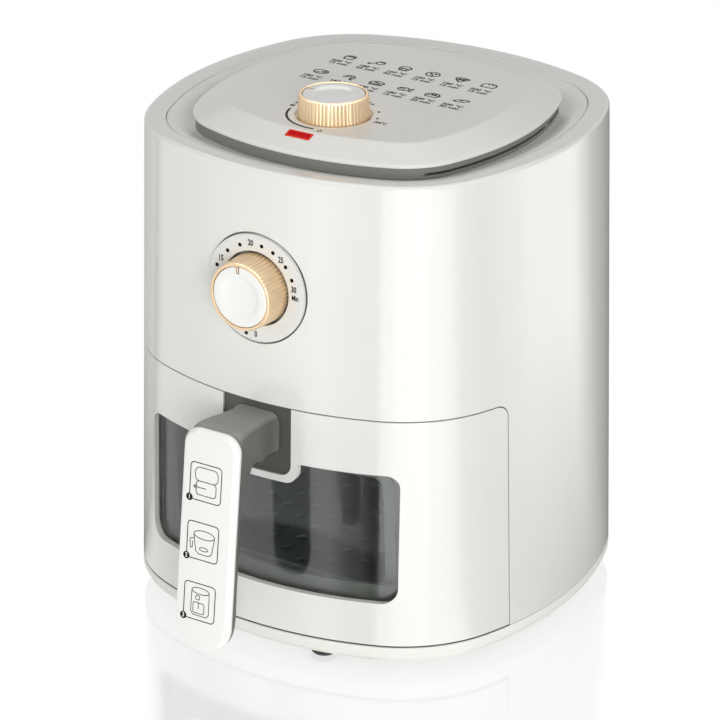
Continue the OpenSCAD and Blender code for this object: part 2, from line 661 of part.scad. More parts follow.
// ---- cavity ----
terminal_xs = [-8, 8];
terminal_r = heater_tube_r * 0.8;
heater_feet = [90, 210, 330];
clip_r = fan_r + 8;
function cavity_plan(g) = rounded([
    [-liner_half_w - g, -drawer_y, 0], [-liner_half_w - g, liner_back + g, pan_back_r + 4 + g],
    [liner_half_w + g, liner_back + g, pan_back_r + 4 + g], [liner_half_w + g, -drawer_y, 0],
    [liner_half_w - liner_step + g, -drawer_y, 0],
    [liner_half_w - liner_step + g, -liner_front - g, liner_front_r + g],
    [liner_step - liner_half_w - g, -liner_front - g, liner_front_r + g],
    [liner_step - liner_half_w - g, -drawer_y, 0]], 8);
duct_half_w = vent_half_w - 4;
duct_z0 = vent_z + 4;
duct_z1 = roof_z - 4;
roof_cut = 10;
module cavity_liner() color(steel) in_place() difference() {
    translate([0, 0, liner_z0]) linear_extrude(roof_z - liner_z0) polygon(cavity_plan(liner_t));
    translate([0, 0, liner_z0 + liner_t]) linear_extrude(roof_z - liner_z0 - 2 * liner_t)
        polygon(cavity_plan(0));
    slab(-body_w, body_w, -body_d, 0.2 - drawer_y, 0, opening_z1 + wall);
    translate([0, 0, roof_z - roof_cut]) {
        cylinder(r = 12, h = 2 * roof_cut);
        translate([bulb_x, capillary_y, 0]) cylinder(r = capillary_r + 0.2, h = 2 * roof_cut);
        for (x = terminal_xs) translate([x, heater_r, 0]) cylinder(r = terminal_r + fit, h = 2 * roof_cut);
        for (a = heater_feet) rotate(a) translate([clip_r, 0, 0]) cylinder(r = 1.8, h = 2 * roof_cut);
    }
    slab(-duct_half_w, duct_half_w, 0, body_d, duct_z0, duct_z1);
    for (p = posts) translate(p) cylinder(r = 2.2, h = foot_z + 10);
}
bezel_t = 2.5;
module front_bezel() color(body_white) in_place() difference() {
    skin(body_rings([[lean(foot_z) + wall + fit, foot_z + fit],
        [lean(opening_z1 + wall) + wall + fit, opening_z1 + bezel_t + fit]]));
    slab(-body_w, body_w, -body_d, seam - drawer_y, 0, opening_z1 + fit);
    slab(-body_w, body_w, seam + bezel_t - drawer_y, body_d, 0, rim_z);
    translate([0, 0, -eps]) linear_extrude(rim_z) polygon(cavity_plan(liner_t + fit));
    translate([plunger_x, 0, plunger_z]) rotate([90, 0, 0]) cylinder(r = plunger_r + 0.4, h = body_d);
}
rail_z = pan_z1 - pan_rim_t - fit;
rail_y1 = pan_back - pan_back_r - 2;
rail_t = 2;
rail_drop = 14;
module drawer_rails() color(steel) in_place() both_sides() {
    slab(pan_half_w + 1.4, liner_half_w - fit, 1 - drawer_y, rail_y1, rail_z - rail_t, rail_z);
    slab(liner_half_w - rail_t - fit, liner_half_w - fit, 1 - drawer_y, rail_y1, rail_z - rail_drop,
        rail_z - rail_t);
}
reflector_z = roof_z + 2;
reflector_bore = 14;
module heat_reflector() color("#c9ccce") in_place() difference() {
    rotate_extrude() polygon([[reflector_bore, reflector_z], [reflector_r - 4, reflector_z],
        [reflector_r, reflector_z - 1.7], [reflector_r + 0.9, reflector_z - 1.2],
        [reflector_r - 3.6, reflector_z + 0.8], [reflector_bore, reflector_z + 0.8]]);
    translate([bulb_x, capillary_y, 0]) cylinder(r = capillary_r + 6, h = rim_z);
    slab(terminal_xs[0] - 4, terminal_xs[1] + 4, heater_r - 5, body_d, 0, rim_z);
}

// ---- heating element and its guard ----
ring_pitch = 18;
clip_z = heater_z + heater_tube_r + fit;
module heat_ring(r) { rotate_extrude($fn = 72) translate([r, 0]) circle(r = heater_tube_r, $fn = 24); }
module heating_element() color("#8c8f92") in_place() translate([0, 0, heater_z]) {
    for (i = [0 : 2]) heat_ring(heater_r - i * ring_pitch);
    slab(-2, 2, heater_r - 2 * ring_pitch, heater_r, -heater_tube_r - 1.6, -heater_tube_r * 0.5);
    for (x = terminal_xs) translate([x, heater_r, 0]) cylinder(r = terminal_r, h = roof_z - heater_z + 10);
}
clip_t = 1.2;
module heater_clips() color(steel) in_place() for (a = heater_feet) rotate(a) {
    slab(clip_r - clip_t, clip_r, -5, 5, clip_z, roof_z - liner_t - fit);
    slab(clip_r - clip_t, clip_r + 7, -5, 5, roof_z - liner_t - fit - clip_t, roof_z - liner_t - fit);
    slab(heater_r - 2 * ring_pitch - 3, clip_r, -5, 5, clip_z, clip_z + clip_t);
}
guard_bar = 1.6;
guard_z = heater_z - heater_tube_r - 6;
module heater_guard() color(steel) in_place() translate([0, 0, guard_z]) {
    for (r = [14 : 14 : guard_r]) rotate_extrude($fn = 60) translate([r - guard_bar, 0]) square(guard_bar);
    for (a = [0 : 45 : 135]) rotate(a)
        slab(1 - guard_r, guard_r - 1, -guard_bar / 2, guard_bar / 2, 0, guard_bar);
    for (a = [45 : 90 : 315]) rotate(a) slab(guard_r - 2 * guard_bar, guard_r - 0.2, -2, 2,
        0.2, roof_z - liner_t - fit - guard_z);
}

// ---- motor and fans ----
bracket_z = reflector_z + 1.5;
bearing_z0 = bracket_z + 3;
stator_z0 = bearing_z0 + 9;
stator_h = 20;
bridge_t = 2.5;
bolt_xs = [-14, 24];
bolt_y = 18;
bolt_r = 2;
stator_w = 60;
stator_d = 48;
rotor_r = 14.5;
air_gap = 0.5;
bearing_z1 = stator_z0 + stator_h + 1;
cooler_z = bearing_z1 + 13;
cooler_h = 13;
shaft_z0 = fan_z0 - 9;
shaft_z1 = cooler_z + cooler_h;
module motor_bracket() color(steel) in_place() difference() {
    union() {
        translate([0, 0, bracket_z]) linear_extrude(2) polygon(rounded(rect(-38, -30, 38, 30, 8)));
        for (x = [-34, 34], y = [-26, 26]) translate([x, y, reflector_z + 0.8 + fit])
            cylinder(r = 4, h = bracket_z - reflector_z - 0.8 - fit + 1);
        for (x = bolt_xs, y = [-bolt_y, bolt_y]) translate([x, y, bracket_z])
            cylinder(r = 3.6, h = stator_z0 - 2 * fit - bridge_t - bracket_z);
    }
    cylinder(r = 9, h = rim_z);
    for (x = [-34, 34], y = [-26, 26]) translate([x, y, 0]) cylinder(r = 1.7, h = rim_z);
}
module motor_stator() color("#7d8083") in_place() translate([0, 0, stator_z0]) difference() {
    translate([-stator_w / 2 - 10, -stator_d / 2, 0]) cube([stator_w + 10, stator_d, stator_h]);
    translate([0, 0, -eps]) cylinder(r = rotor_r + air_gap, h = stator_h + 2 * eps);
    translate([-stator_w / 2 + 2, -stator_d / 2 + 12, -eps]) cube([12, stator_d - 24, stator_h + 2 * eps]);
    for (x = bolt_xs, y = [-bolt_y, bolt_y]) translate([x, y, -eps])
        cylinder(r = bolt_r, h = stator_h + 2 * eps);
}
limb_x0 = -stator_w / 2 - 10;
limb_x1 = -stator_w / 2 + 2;
coil_half = stator_d / 2 - 12.4;
module motor_coil() color("#b5652f") in_place() translate([0, 0, stator_z0]) difference() {
    slab(limb_x0 - 5, limb_x1 + 10, -coil_half, coil_half, -7, stator_h + 7);
    slab(limb_x0 - fit, limb_x1 + fit, -stator_d / 2, stator_d / 2, -fit, stator_h + fit);
}
module bearing_bridge() {
    difference() {
        union() {
            slab(bolt_xs[0] - 4, bolt_xs[1] + 4, -bolt_y - 4, bolt_y + 4, 0, bridge_t);
            cylinder(r = 9, h = 7);
        }
        translate([0, 0, -eps]) cylinder(r = motor_shaft_r + running, h = 12);
        for (x = bolt_xs, y = [-bolt_y, bolt_y]) translate([x, y, -eps]) cylinder(r = bolt_r, h = 5);
    }
}
module motor_bearings() color("#9a9d9f") in_place() {
    translate([0, 0, stator_z0 - fit]) mirror([0, 0, 1]) bearing_bridge();
    translate([0, 0, stator_z0 + stator_h + fit]) bearing_bridge();
}
module motor_shaft() color(steel) in_place() translate([0, 0, shaft_z0])
    cylinder(r = motor_shaft_r, h = shaft_z1 - shaft_z0);
module rotor_core() color("#6a6d70") in_place() translate([0, 0, stator_z0 + 0.6]) difference() {
    cylinder(r = rotor_r, h = stator_h - 1.2);
    translate([0, 0, -eps]) cylinder(r = motor_shaft_r, h = stator_h + 2 * eps);
}
module convection_fan() color(steel) in_place() translate([0, 0, fan_z0]) difference() {
    union() {
        translate([0, 0, fan_h - 1]) cylinder(r = fan_r - 4, h = 1);
        cylinder(r = 9, h = fan_h);
        for (i = [0 : fan_blades - 1]) rotate(i * 360 / fan_blades) translate([fan_r - 24, -0.5, 0])
            rotate(12) cube([22, 1, fan_h - 0.5]);
    }
    translate([0, 0, -eps]) cylinder(r = motor_shaft_r, h = fan_h + 2 * eps);
}
module fan_nut() color(steel) in_place() translate([0, 0, fan_z0 - 5]) difference() {
    cylinder(r = 6, h = 4.8, $fn = 6);
    translate([0, 0, -eps]) cylinder(r = motor_shaft_r, h = 8);
}
module cooling_fan() color("#e6e4da") in_place() translate([0, 0, cooler_z]) difference() {
    union() {
        cylinder(r = 12, h = cooler_h);
        cylinder(r = cooler_r - 4, h = 1.4);
        for (i = [0 : cooler_blades - 1]) rotate(i * 360 / cooler_blades) translate([10, 0, 0])
            rotate(20) translate([0, -0.6, 0]) cube([cooler_r - 14, 1.2, cooler_h - 1]);
    }
    translate([0, 0, -eps]) cylinder(r = motor_shaft_r, h = cooler_h + 2 * eps);
}

// ---- back of the body ----
module rear_vent() color(body_white) in_place() difference() {
    intersection() {
        drawer_slice(0.4, wall + 1, vent_z - eps, vent_z + vent_h + eps);
        across(0, body_d) polygon(rounded(rect(-vent_half_w + fit, vent_z + fit,
            vent_half_w - fit, vent_z + vent_h - fit, 6 - fit)));
    }
    for (z = [vent_z + 6 : 7 : vent_z + vent_h - 9]) for (s = [-1, 1])
        slab(s > 0 ? 2 : 5 - vent_half_w, s > 0 ? vent_half_w - 5 : -2, 0, body_d, z, z + 3.6);
}
duct_wall = 1.4;
duct_y1 = half_depth_at(duct_half_w, lean(vent_z + vent_h) + wall + 1) - fit;
function half_depth_at(x, t) = sqrt((side_r - t) * (side_r - t) - x * x) - arc_y;
module exhaust_duct() color("#c9ccce") in_place() across(liner_back + liner_t + fit, duct_y1) difference() {
    polygon(rounded(rect(-duct_half_w, duct_z0, duct_half_w, duct_z1, 4)));
    polygon(rounded(rect(-duct_half_w + duct_wall, duct_z0 + duct_wall,
        duct_half_w - duct_wall, duct_z1 - duct_wall, 3)));
}
gland_y = half_depth_at(gland_x, 0);
tongue_in = 0.2;
// The flat-sided neck keeps the gland from turning in the shell's notch
module gland_block(grow, z0, h) translate([0, 0, z0]) linear_extrude(h)
    polygon(rounded(rect(-gland_half_w - grow, -gland_half_w - grow, gland_half_w + grow,
        gland_half_w + grow, gland_corner_r)));
// It slides up into that notch, and its tongue closes the notch under it
module cord_gland() color(handle_grey) in_place() difference() {
    union() {
        about_gland() {
            gland_block(0, -wall - 5, wall + 9);
            gland_block(2.5, -wall - 8, 3.4);
            gland_block(1.5, 2.6, 2.4);
        }
        intersection() {
            drawer_slice(tongue_in, wall - tongue_in, foot_z, gland_z);
            slab(gland_x - gland_half_w, gland_x + gland_half_w, 0, body_d, foot_z, gland_z);
        }
    }
    about_gland() translate([0, 0, -20]) cylinder(r = lead_r, h = 40);
}
module about_gland() { translate([gland_x, gland_y, gland_z]) rotate([-90, 0, 0]) children(); }
module terminal_block() color("#e4ddc8") in_place() difference() {
    slab(20, 46, liner_back + liner_t + fit, liner_back + liner_t + 11, gland_z - 6, gland_z + 6);
    for (x = [24.5, 33, 41.5]) translate([x, liner_back + 5, gland_z]) rotate([-90, 0, 0])
        cylinder(r = 2.2, h = 12);
}
module thermal_fuse() color("#d9d4c6") in_place() translate([-62, 44, reflector_z + 0.8 + fit]) {
    slab(-9, 9, -4, 4, 0, 1);
    translate([-7, 0, 4.2]) rotate([0, 90, 0]) cylinder(r = 2.4, h = 14);
    for (x = [-6, 4]) slab(x, x + 2, -2, 2, 0.8, 4);
}

// ---- drawer switch ----
plunger_x = liner_half_w + 8;
plunger_z = drawer_z1 - 15;
plunger_y0 = -drawer_y + fit;
switch_y0 = seam + bezel_t - drawer_y + fit;
module microswitch_body() color("#26282a") in_place() difference() {
    slab(plunger_x - 5, plunger_x + 2.6, switch_y0, switch_y0 + 20, plunger_z - 9, plunger_z + 4);
    translate([plunger_x, switch_y0 - eps, plunger_z]) rotate([-90, 0, 0])
        cylinder(r = plunger_r + running, h = 9);
    translate([plunger_x - 8, switch_y0 + 14, plunger_z - 6]) rotate([0, 90, 0]) cylinder(r = 1.2, h = 16);
}
module switch_plunger() color("#c23b2e") in_place() translate([plunger_x, plunger_y0, plunger_z])
    rotate([-90, 0, 0]) cylinder(r = plunger_r, h = switch_y0 + 5 - plunger_y0);

// ---- drawer front ----
backing_t0 = 18;
backing_wall = 2.4;
function leaned(t, z) = [t + lean(z), z];
module drawer_slice(t0, t1, z0, z1) {
    tube_skin(body_rings([leaned(t0, z0), leaned(t0, z1), leaned(t1, z1), leaned(t1, z0)]));
}
notch_x = plinth_half_w + band_w;
notch_z = drawer_z1 - plinth_h - band_w;
// The window's outline, grown by g, with more room g2 at the notch
module window_shape(g, g2) {
    polygon(rounded([
        [-win_half_w - g, win_z0 - g, win_r + 2 + g], [win_half_w + g, win_z0 - g, win_r + 2 + g],
        [win_half_w + g, win_z1 + g, win_r + g], [notch_x - g2, win_z1 + g, 0],
        [notch_x - g2, notch_z - g2, win_r + g2], [g2 - notch_x, notch_z - g2, win_r + g2],
        [g2 - notch_x, win_z1 + g, 0], [-win_half_w - g, win_z1 + g, win_r + g]]));
}
module plinth_shape(g) {
    z0 = drawer_z1 - plinth_h - g;
    polygon(rounded([[-plinth_half_w - g, drawer_z1 + 5, 0], [-plinth_half_w - g, z0, 7 + g],
        [plinth_half_w + g, z0, 7 + g], [plinth_half_w + g, drawer_z1 + 5, 0]]));
}
module drawer_front() color(body_white) in_place() difference() {
    intersection() {
        tube_skin(body_rings([
            leaned(0, drawer_z0), leaned(0, drawer_z1), [backing_t0 - fit, drawer_z1],
            [backing_t0 - fit, drawer_z1 - wall], leaned(wall, drawer_z1 - wall),
            leaned(wall, drawer_z0 + wall), [backing_t0 - fit, drawer_z0 + wall],
            [backing_t0 - fit, drawer_z0]]));
        along(-body_w, body_w) drawer_side(0);
    }
    across(-body_d, -drawer_y) window_shape(0, 0);
    intersection() {
        across(-body_d, -drawer_y) plinth_shape(fit);
        slab(-body_w, body_w, -body_d, front_y(drawer_z1) + plinth_back + fit, 0, rim_z);
    }
}
gasket_t = 1.2;
gasket_in = wall + 0.1;
glass_in = gasket_in + gasket_t + 0.1;
module window_gasket() color("#e9e9e4") in_place() intersection() {
    drawer_slice(gasket_in, gasket_in + gasket_t, drawer_z0 + wall + fit, drawer_z1 - wall - fit);
    across(-body_d, -drawer_y) difference() {
        window_shape(3.6, 1.9);
        window_shape(0.4, 0.4);
    }
}
module window_glass() color([0.75, 0.78, 0.8, 0.4]) in_place() intersection() {
    drawer_slice(glass_in, glass_in + glass_t, drawer_z0 + wall + fit, drawer_z1 - wall - fit);
    across(-body_d, -drawer_y) window_shape(3.6, 1.9);
}
view_margin = 4;
module drawer_backing() color(handle_grey) in_place() difference() {
    translate([0, 0, drawer_z0 + fit]) linear_extrude(drawer_z1 - drawer_z0 - 2 * fit) difference() {
        polygon(outline(backing_t0));
        polygon(outline(backing_t0 + backing_wall));
    }
    slab(-body_w, body_w, -drawer_y - 0.5, body_d, 0, rim_z);
    across(-body_d, 0) polygon(rounded(rect(view_margin - win_half_w, win_z0 + view_margin,
        win_half_w - view_margin, win_z1 - view_margin, win_r)));
    for (x = [-screw_x, screw_x]) translate([x, -body_d, arm_root_z]) rotate([-90, 0, 0])
        cylinder(r = 2.2, h = body_d);
}

// ---- handle ----
plinth_front = 1.2;
plinth_back = 8;
arm_root_z = drawer_z1 - 15;
screw_x = 12;
screw_r = 1.7;
module handle_plinth() color(handle_grey) in_place() difference() {
    union() {
        intersection() {
            drawer_slice(plinth_front, wall + 0.2, drawer_z1 - plinth_h - 3, drawer_z1 + 2);
            across(-body_d, -drawer_y) plinth_shape(0);
            slab(-body_w, body_w, -body_d, 0, 0, drawer_z1);
        }
        intersection() {
            drawer_slice(wall + fit - 0.2, wall + 3, drawer_z1 - plinth_h - 3, drawer_z1 - wall - fit);
            across(-body_d, -drawer_y) plinth_shape(1.8);
        }
        for (x = [-screw_x, screw_x])
            translate([x, front_y(arm_root_z) + wall, arm_root_z]) rotate([-90, 0, 0])
            cylinder(r = 5, h = backing_t0 - lean(arm_root_z) - wall - fit);
    }
    for (x = [-screw_x, screw_x]) translate([x, -body_d, arm_root_z]) rotate([-90, 0, 0])
        cylinder(r = 2.2, h = body_d);
}

// Front face of the handle as a line that leans forward towards its foot
handle_front_y = -body_d / 2 - handle_reach;
handle_foot_z = foot_z + handle_foot;
module handle_frame() {
    translate([0, handle_front_y, handle_foot_z]) rotate([-handle_lean, 0, 0]) children();
}
// A point at the height h along the handle and the depth d behind its face
function on_handle(h, d) = [
    handle_front_y + d * cos(handle_lean) + h * sin(handle_lean),
    handle_foot_z - d * sin(handle_lean) + h * cos(handle_lean)];
function cover_ring(g, d) = let (hw = handle_w / 2 - g, s = rounded([
        [-hw, g, cover_foot_r - g], [hw, g, cover_foot_r - g],
        [hw, handle_l - g, cover_top_r - g], [-hw, handle_l - g, cover_top_r - g]], 8))
    [for (p = s) [p.x, d, p.y]];
module handle_cover() color(body_white) in_place() handle_frame()
    skin([cover_ring(3, 0), cover_ring(2, 0.35), cover_ring(0.7, 1.7), cover_ring(0, 3.4),
        cover_ring(0, cover_t)]);

// Cross-section of the core between an upper and a lower point [y, z]
core_half_w = handle_w / 2 - 0.9;
function core_section(up, low, w, r0, r1) =
    let (l = norm(up - low), n = (up - low) / l,
         s = rounded([[-w, 0, r1], [w, 0, r1], [w, l, r0], [-w, l, r0]], 5))
    [for (p = s) [p.x, low.x + n.x * p.y, low.y + n.y * p.y]];
core_d = cover_t + 0.1;
arm_top_z = drawer_z1 - 5;
arm_h = 23;
arm_foot_z = arm_top_z - arm_h - 2.2;
arm_root_y = arm_root_at(arm_root_z);
function arm_root_at(z) = front_y(z) + plinth_front - fit;
module handle_core() color(handle_grey) in_place() difference() {
    skin([
        core_section(on_handle(1.6, core_d), on_handle(2.8, core_d + 3), core_half_w - 11, 0.4, 1.2),
        core_section(on_handle(2.8, core_d), on_handle(4.4, core_d + core_t * 0.8),
            core_half_w - 7.4, 0.4, 1.4),
        core_section(on_handle(9, core_d), on_handle(10, core_d + core_t), core_half_w - 2.4, 0.4, 2.2),
        core_section(on_handle(18, core_d), on_handle(18, core_d + core_t), core_half_w, 0.4, 2.4),
        core_section(on_handle(70, core_d), on_handle(70, core_d + core_t), core_half_w, 0.4, 2.4),
        core_section(on_handle(98, core_d), on_handle(95, core_d + core_t + 0.6), core_half_w, 0.4, 2.4),
        core_section(on_handle(116, core_d), on_handle(106, core_d + core_t + 4), core_half_w, 2, 2.4),
        core_section(on_handle(132, core_d), [on_handle(112, 0).x + 22, arm_top_z - arm_h + 3],
            core_half_w, 7, 2.4),
        core_section([on_handle(handle_l, 0).x + 10, arm_top_z + 2.2],
            [on_handle(112, 0).x + 31, arm_top_z - arm_h + 0.6], core_half_w, 8.6, 2.4),
        core_section([arm_root_y - 14, arm_top_z + 0.8], [arm_root_y - 12, arm_top_z - arm_h],
            core_half_w, 8.6, 2.4),
        core_section([arm_root_y - 5, arm_top_z + 0.2], [arm_root_y - 5, arm_top_z - arm_h - 0.6],
            core_half_w + 0.5, 8.6, 2.4),
        core_section([arm_root_at(arm_top_z + 1.6), arm_top_z + 1.6],
            [arm_root_at(arm_foot_z), arm_foot_z], core_half_w + 2.4, 9.4, 3)]);
    for (x = [-screw_x, screw_x]) translate([x, arm_root_y - 14, arm_root_z]) rotate([-90, 0, 0])
        cylinder(r = screw_r + 0.1, h = 20);
}
// The backing curves towards the heads, so they stand off by its rise at their far side
backing_in_r = side_r - backing_t0 - backing_wall;
screw_rise = backing_in_r - sqrt(pow(backing_in_r, 2) - pow(screw_x + screw_head_r, 2));
screw_y1 = -body_d / 2 + backing_t0 + backing_wall + fit + screw_rise;
module handle_screws() color(steel) in_place()
    for (x = [-screw_x, screw_x]) translate([x, arm_root_y - 12, arm_root_z]) rotate([-90, 0, 0]) {
        cylinder(r = screw_r, h = screw_y1 - arm_root_y + 12);
        translate([0, 0, screw_y1 - arm_root_y + 12]) cylinder(r = screw_head_r, h = 1.8);
    }

// ---- frying pan ----
function pan_plan(g) = rounded([
    [-pan_half_w - g, -pan_front - g, pan_front_r + g], [pan_half_w + g, -pan_front - g, pan_front_r + g],
    [pan_half_w + g, pan_back + g, pan_back_r + g], [-pan_half_w - g, pan_back + g, pan_back_r + g]], 8);
pan_floor_r = 9;
function pan_lean(z) = -pan_draft * (pan_z1 - z) / (pan_h - pan_floor_r);
function pan_rings(profile) = [for (p = profile) [for (q = pan_plan(p[0])) [q.x, q.y, p[1]]]];
function pan_at(g, z) = [pan_lean(z) + g, z];
pan_foot = [for (a = [0 : 30 : 90])
    [-pan_draft - pan_floor_r * (1 - sin(a)), pan_z0 + pan_floor_r * (1 - cos(a))]];
pan_win_x = 68;
pan_win_z0 = pan_z0 + 20;
pan_win_z1 = pan_z1 - 18;
module pan_window(g) {
    across(-body_d, -pan_front / 2) polygon(rounded(rect(-pan_win_x - g, pan_win_z0 - g,
        pan_win_x + g, pan_win_z1 + g, 8 + g)));
}
module frying_pan() color(pan_black) in_place() difference() {
    skin(pan_rings(concat(pan_foot,
        [pan_at(0, pan_z1 - pan_rim_t), [pan_rim, pan_z1 - pan_rim_t], [pan_rim, pan_z1]])));
    skin(pan_rings(concat(
        [for (p = pan_foot) [p[0] - pan_wall, p[1] + pan_wall]], [pan_at(-pan_wall, pan_z1 + eps)])));
    pan_window(0);
}
pan_glass_in = pan_wall + fit;
pan_glass_t = 2.2;
module pan_glass() color([0.75, 0.78, 0.8, 0.4]) in_place() intersection() {
    tube_skin(pan_rings([
        pan_at(-pan_glass_in, pan_z0 + 12), pan_at(-pan_glass_in, pan_z1 - 4),
        pan_at(-pan_glass_in - pan_glass_t, pan_z1 - 4), pan_at(-pan_glass_in - pan_glass_t, pan_z0 + 12)]));
    pan_window(3);
}
module pan_glass_frame() color(steel) in_place() intersection() {
    tube_skin(pan_rings([
        pan_at(1.4, pan_z0 + 12), pan_at(1.4, pan_z1 - 4),
        pan_at(0.15, pan_z1 - 4), pan_at(0.15, pan_z0 + 12)]));
    difference() {
        pan_window(5);
        pan_window(-0.6);
    }
}
bracket_a = 18;
bracket_w = 18;
bracket_t = 1.2;
bracket_y0 = backing_t0 + backing_wall + 2 * fit - side_r;
module pan_bracket() color(steel) in_place() for (a = [-bracket_a, bracket_a])
    translate([0, arc_y, 0]) rotate(a) difference() {
        union() {
            slab(-bracket_w / 2, bracket_w / 2, bracket_y0, bracket_y0 + bracket_t,
                pan_z0 - fit - bracket_t, pan_z0 + 16);
            slab(-bracket_w / 2, bracket_w / 2, bracket_y0, bracket_y0 + 30,
                pan_z0 - fit - bracket_t, pan_z0 - fit);
        }
        translate([0, bracket_y0 + 10, pan_z0 + 9]) rotate([90, 0, 0]) cylinder(r = 2.2, h = 20);
    }

// ---- crisper ----
crisper_z = pan_z0 + pan_wall + crisper_h;
crisper_t = 1.6;
crisper_in = pan_lean(crisper_z) - pan_wall - 3;
function crisper_holes() = [for (x = [-5 : 5], y = [-5 : 5])
    let (p = [x * crisper_pitch, (y + (x % 2 == 0 ? 0 : 0.5)) * crisper_pitch])
    if (norm(p) > 14 && norm(p) < pan_half_w - 14) p];
module crisper_plate() color(pan_black) in_place() difference() {
    union() {
        difference() {
            translate([0, 0, crisper_z - 5]) linear_extrude(5 + crisper_t) polygon(pan_plan(crisper_in));
            translate([0, 0, crisper_z - 6]) linear_extrude(6) polygon(pan_plan(crisper_in - 1.6));
        }
        for (x = [-62, 62], y = [-60, 60]) translate([x, y, pan_z0 + pan_wall + fit])
            cylinder(r = 4, h = crisper_h);
    }
    for (p = crisper_holes()) translate([p.x, p.y, crisper_z - eps])
        cylinder(r = crisper_hole_r, h = crisper_t + 2 * eps, $fn = 20);
}
bumper_t = 1.8;
bumper_w = 12;
bumper_a = 40;
module bumper() { slab(0.1, bumper_t + 0.1, -bumper_w / 2, bumper_w / 2, crisper_z - 3, crisper_z + 1); }
// One bumper on each side and at the back, and two at the front corners, clear of the pan's window
module crisper_bumpers() color("#8f2f25") in_place() {
    both_sides() translate([pan_half_w + crisper_in, 0, 0]) bumper();
    translate([0, pan_back + crisper_in, 0]) rotate(90) bumper();
    both_sides() translate([pan_half_w - pan_front_r, pan_front_r - pan_front, 0]) rotate(-bumper_a)
        translate([pan_front_r + crisper_in, 0, 0]) bumper();
}
loop_r = 11;
loop_wire_r = 1.8;
module crisper_loop() color(steel) in_place() translate([0, 0, crisper_z + crisper_t + 0.1]) {
    cylinder(r = 7, h = 1.6);
    translate([0, 0, loop_r + 10]) rotate([90, 0, 0]) rotate_extrude(angle = 180)
        translate([loop_r, 0]) circle(r = loop_wire_r);
    for (x = [-loop_r, loop_r]) translate([x, 0, 0]) cylinder(r = loop_wire_r, h = loop_r + 10);
    slab(-loop_r, loop_r, -2, 2, 0, 1.6);
}

outer_housing();
top_cover();
intake_grille();
top_panel();
indicator_lens();
indicator_lamp();
dial_plate();
timer_body();
timer_bell();
thermostat_body();
thermostat_bulb();
base_pan();
rubber_feet();
front_bezel();
cavity_liner();
drawer_rails();
heat_reflector();
heating_element();
heater_clips();
heater_guard();
motor_bracket();
motor_stator();
motor_coil();
motor_bearings();
rear_vent();
exhaust_duct();
cord_gland();
terminal_block();
thermal_fuse();
microswitch_body();
base_screws();
motor_shaft();
rotor_core();
convection_fan();
fan_nut();
cooling_fan();
timer_shaft();
timer_knob_ring();
timer_knob_cap();
timer_pointer();
temp_shaft();
temp_knob_ring();
temp_knob_cap();
temp_pointer();
drawer_front();
window_glass();
window_gasket();
drawer_backing();
handle_plinth();
handle_core();
handle_cover();
handle_screws();
pan_bracket();
frying_pan();
pan_glass();
pan_glass_frame();
crisper_plate();
crisper_bumpers();
crisper_loop();
switch_plunger();
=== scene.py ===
"""Looks of a countertop air fryer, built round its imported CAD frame.

The script loads the frame, replaces the shells that show with smooth shells of the same
sizes, prints the scales and symbols, gives every other node its finish, and sets the
camera, the lamps and the floor. Sizes are in millimetres unless a name says otherwise.
"""

import json
import logging
import math
from dataclasses import dataclass
from enum import Enum
from typing import Callable, Dict, Iterable, List, Optional, Sequence, Tuple

import bpy
import numpy as np
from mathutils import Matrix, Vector

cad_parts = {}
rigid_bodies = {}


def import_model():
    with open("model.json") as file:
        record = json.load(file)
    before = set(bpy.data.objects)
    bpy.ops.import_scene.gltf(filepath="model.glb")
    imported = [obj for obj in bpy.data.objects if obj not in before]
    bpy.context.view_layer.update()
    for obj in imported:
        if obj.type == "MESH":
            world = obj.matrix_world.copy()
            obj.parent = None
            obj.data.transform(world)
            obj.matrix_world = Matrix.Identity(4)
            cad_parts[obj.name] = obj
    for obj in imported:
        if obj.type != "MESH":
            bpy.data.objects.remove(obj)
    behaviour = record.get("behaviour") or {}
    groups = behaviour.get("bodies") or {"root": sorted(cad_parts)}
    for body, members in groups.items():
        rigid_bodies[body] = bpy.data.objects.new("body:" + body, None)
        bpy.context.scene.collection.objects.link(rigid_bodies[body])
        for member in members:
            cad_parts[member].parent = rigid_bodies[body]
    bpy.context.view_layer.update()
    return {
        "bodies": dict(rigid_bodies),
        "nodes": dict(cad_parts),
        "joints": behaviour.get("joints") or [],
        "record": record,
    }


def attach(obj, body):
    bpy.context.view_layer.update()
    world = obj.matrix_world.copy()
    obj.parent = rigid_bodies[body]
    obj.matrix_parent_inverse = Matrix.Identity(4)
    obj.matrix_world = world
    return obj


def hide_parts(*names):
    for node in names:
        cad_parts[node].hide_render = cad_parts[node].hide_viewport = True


LOG = logging.getLogger("air_fryer")
Point2 = Tuple[float, float]
Point3 = Tuple[float, float, float]
Ring = List[Point3]

MM = 0.001  # metres in a millimetre
CENTRE_Y = 29.5  # how far the body's centre lies behind the frame's origin
FIT = 0.3  # clearance between pieces that sit together
SHARP = 32.0  # degrees above which an edge stays sharp
FAR = 200.0  # reach of a cutter that passes the whole body
BACK_WALL = (100.0, 150.0)  # the stretch of y that a cutter of the back wall spans
TOP_WALL = (290.0, 320.0)  # the stretch of z that a cutter of the moat and the plate spans


# ---------------------------------------------------------------- colour and nodes


def linear(code: str) -> Tuple[float, float, float, float]:
    """Turns an sRGB hex colour to linear.

    Args:
        code: the colour, such as "#ecebe6".

    Returns:
        Linear red, green, blue and an alpha of 1.
    """
    parts = [int(code[i : i + 2], 16) / 255 for i in (1, 3, 5)]
    low = [p / 12.92 if p <= 0.04045 else ((p + 0.055) / 1.055) ** 2.4 for p in parts]
    return (low[0], low[1], low[2], 1.0)


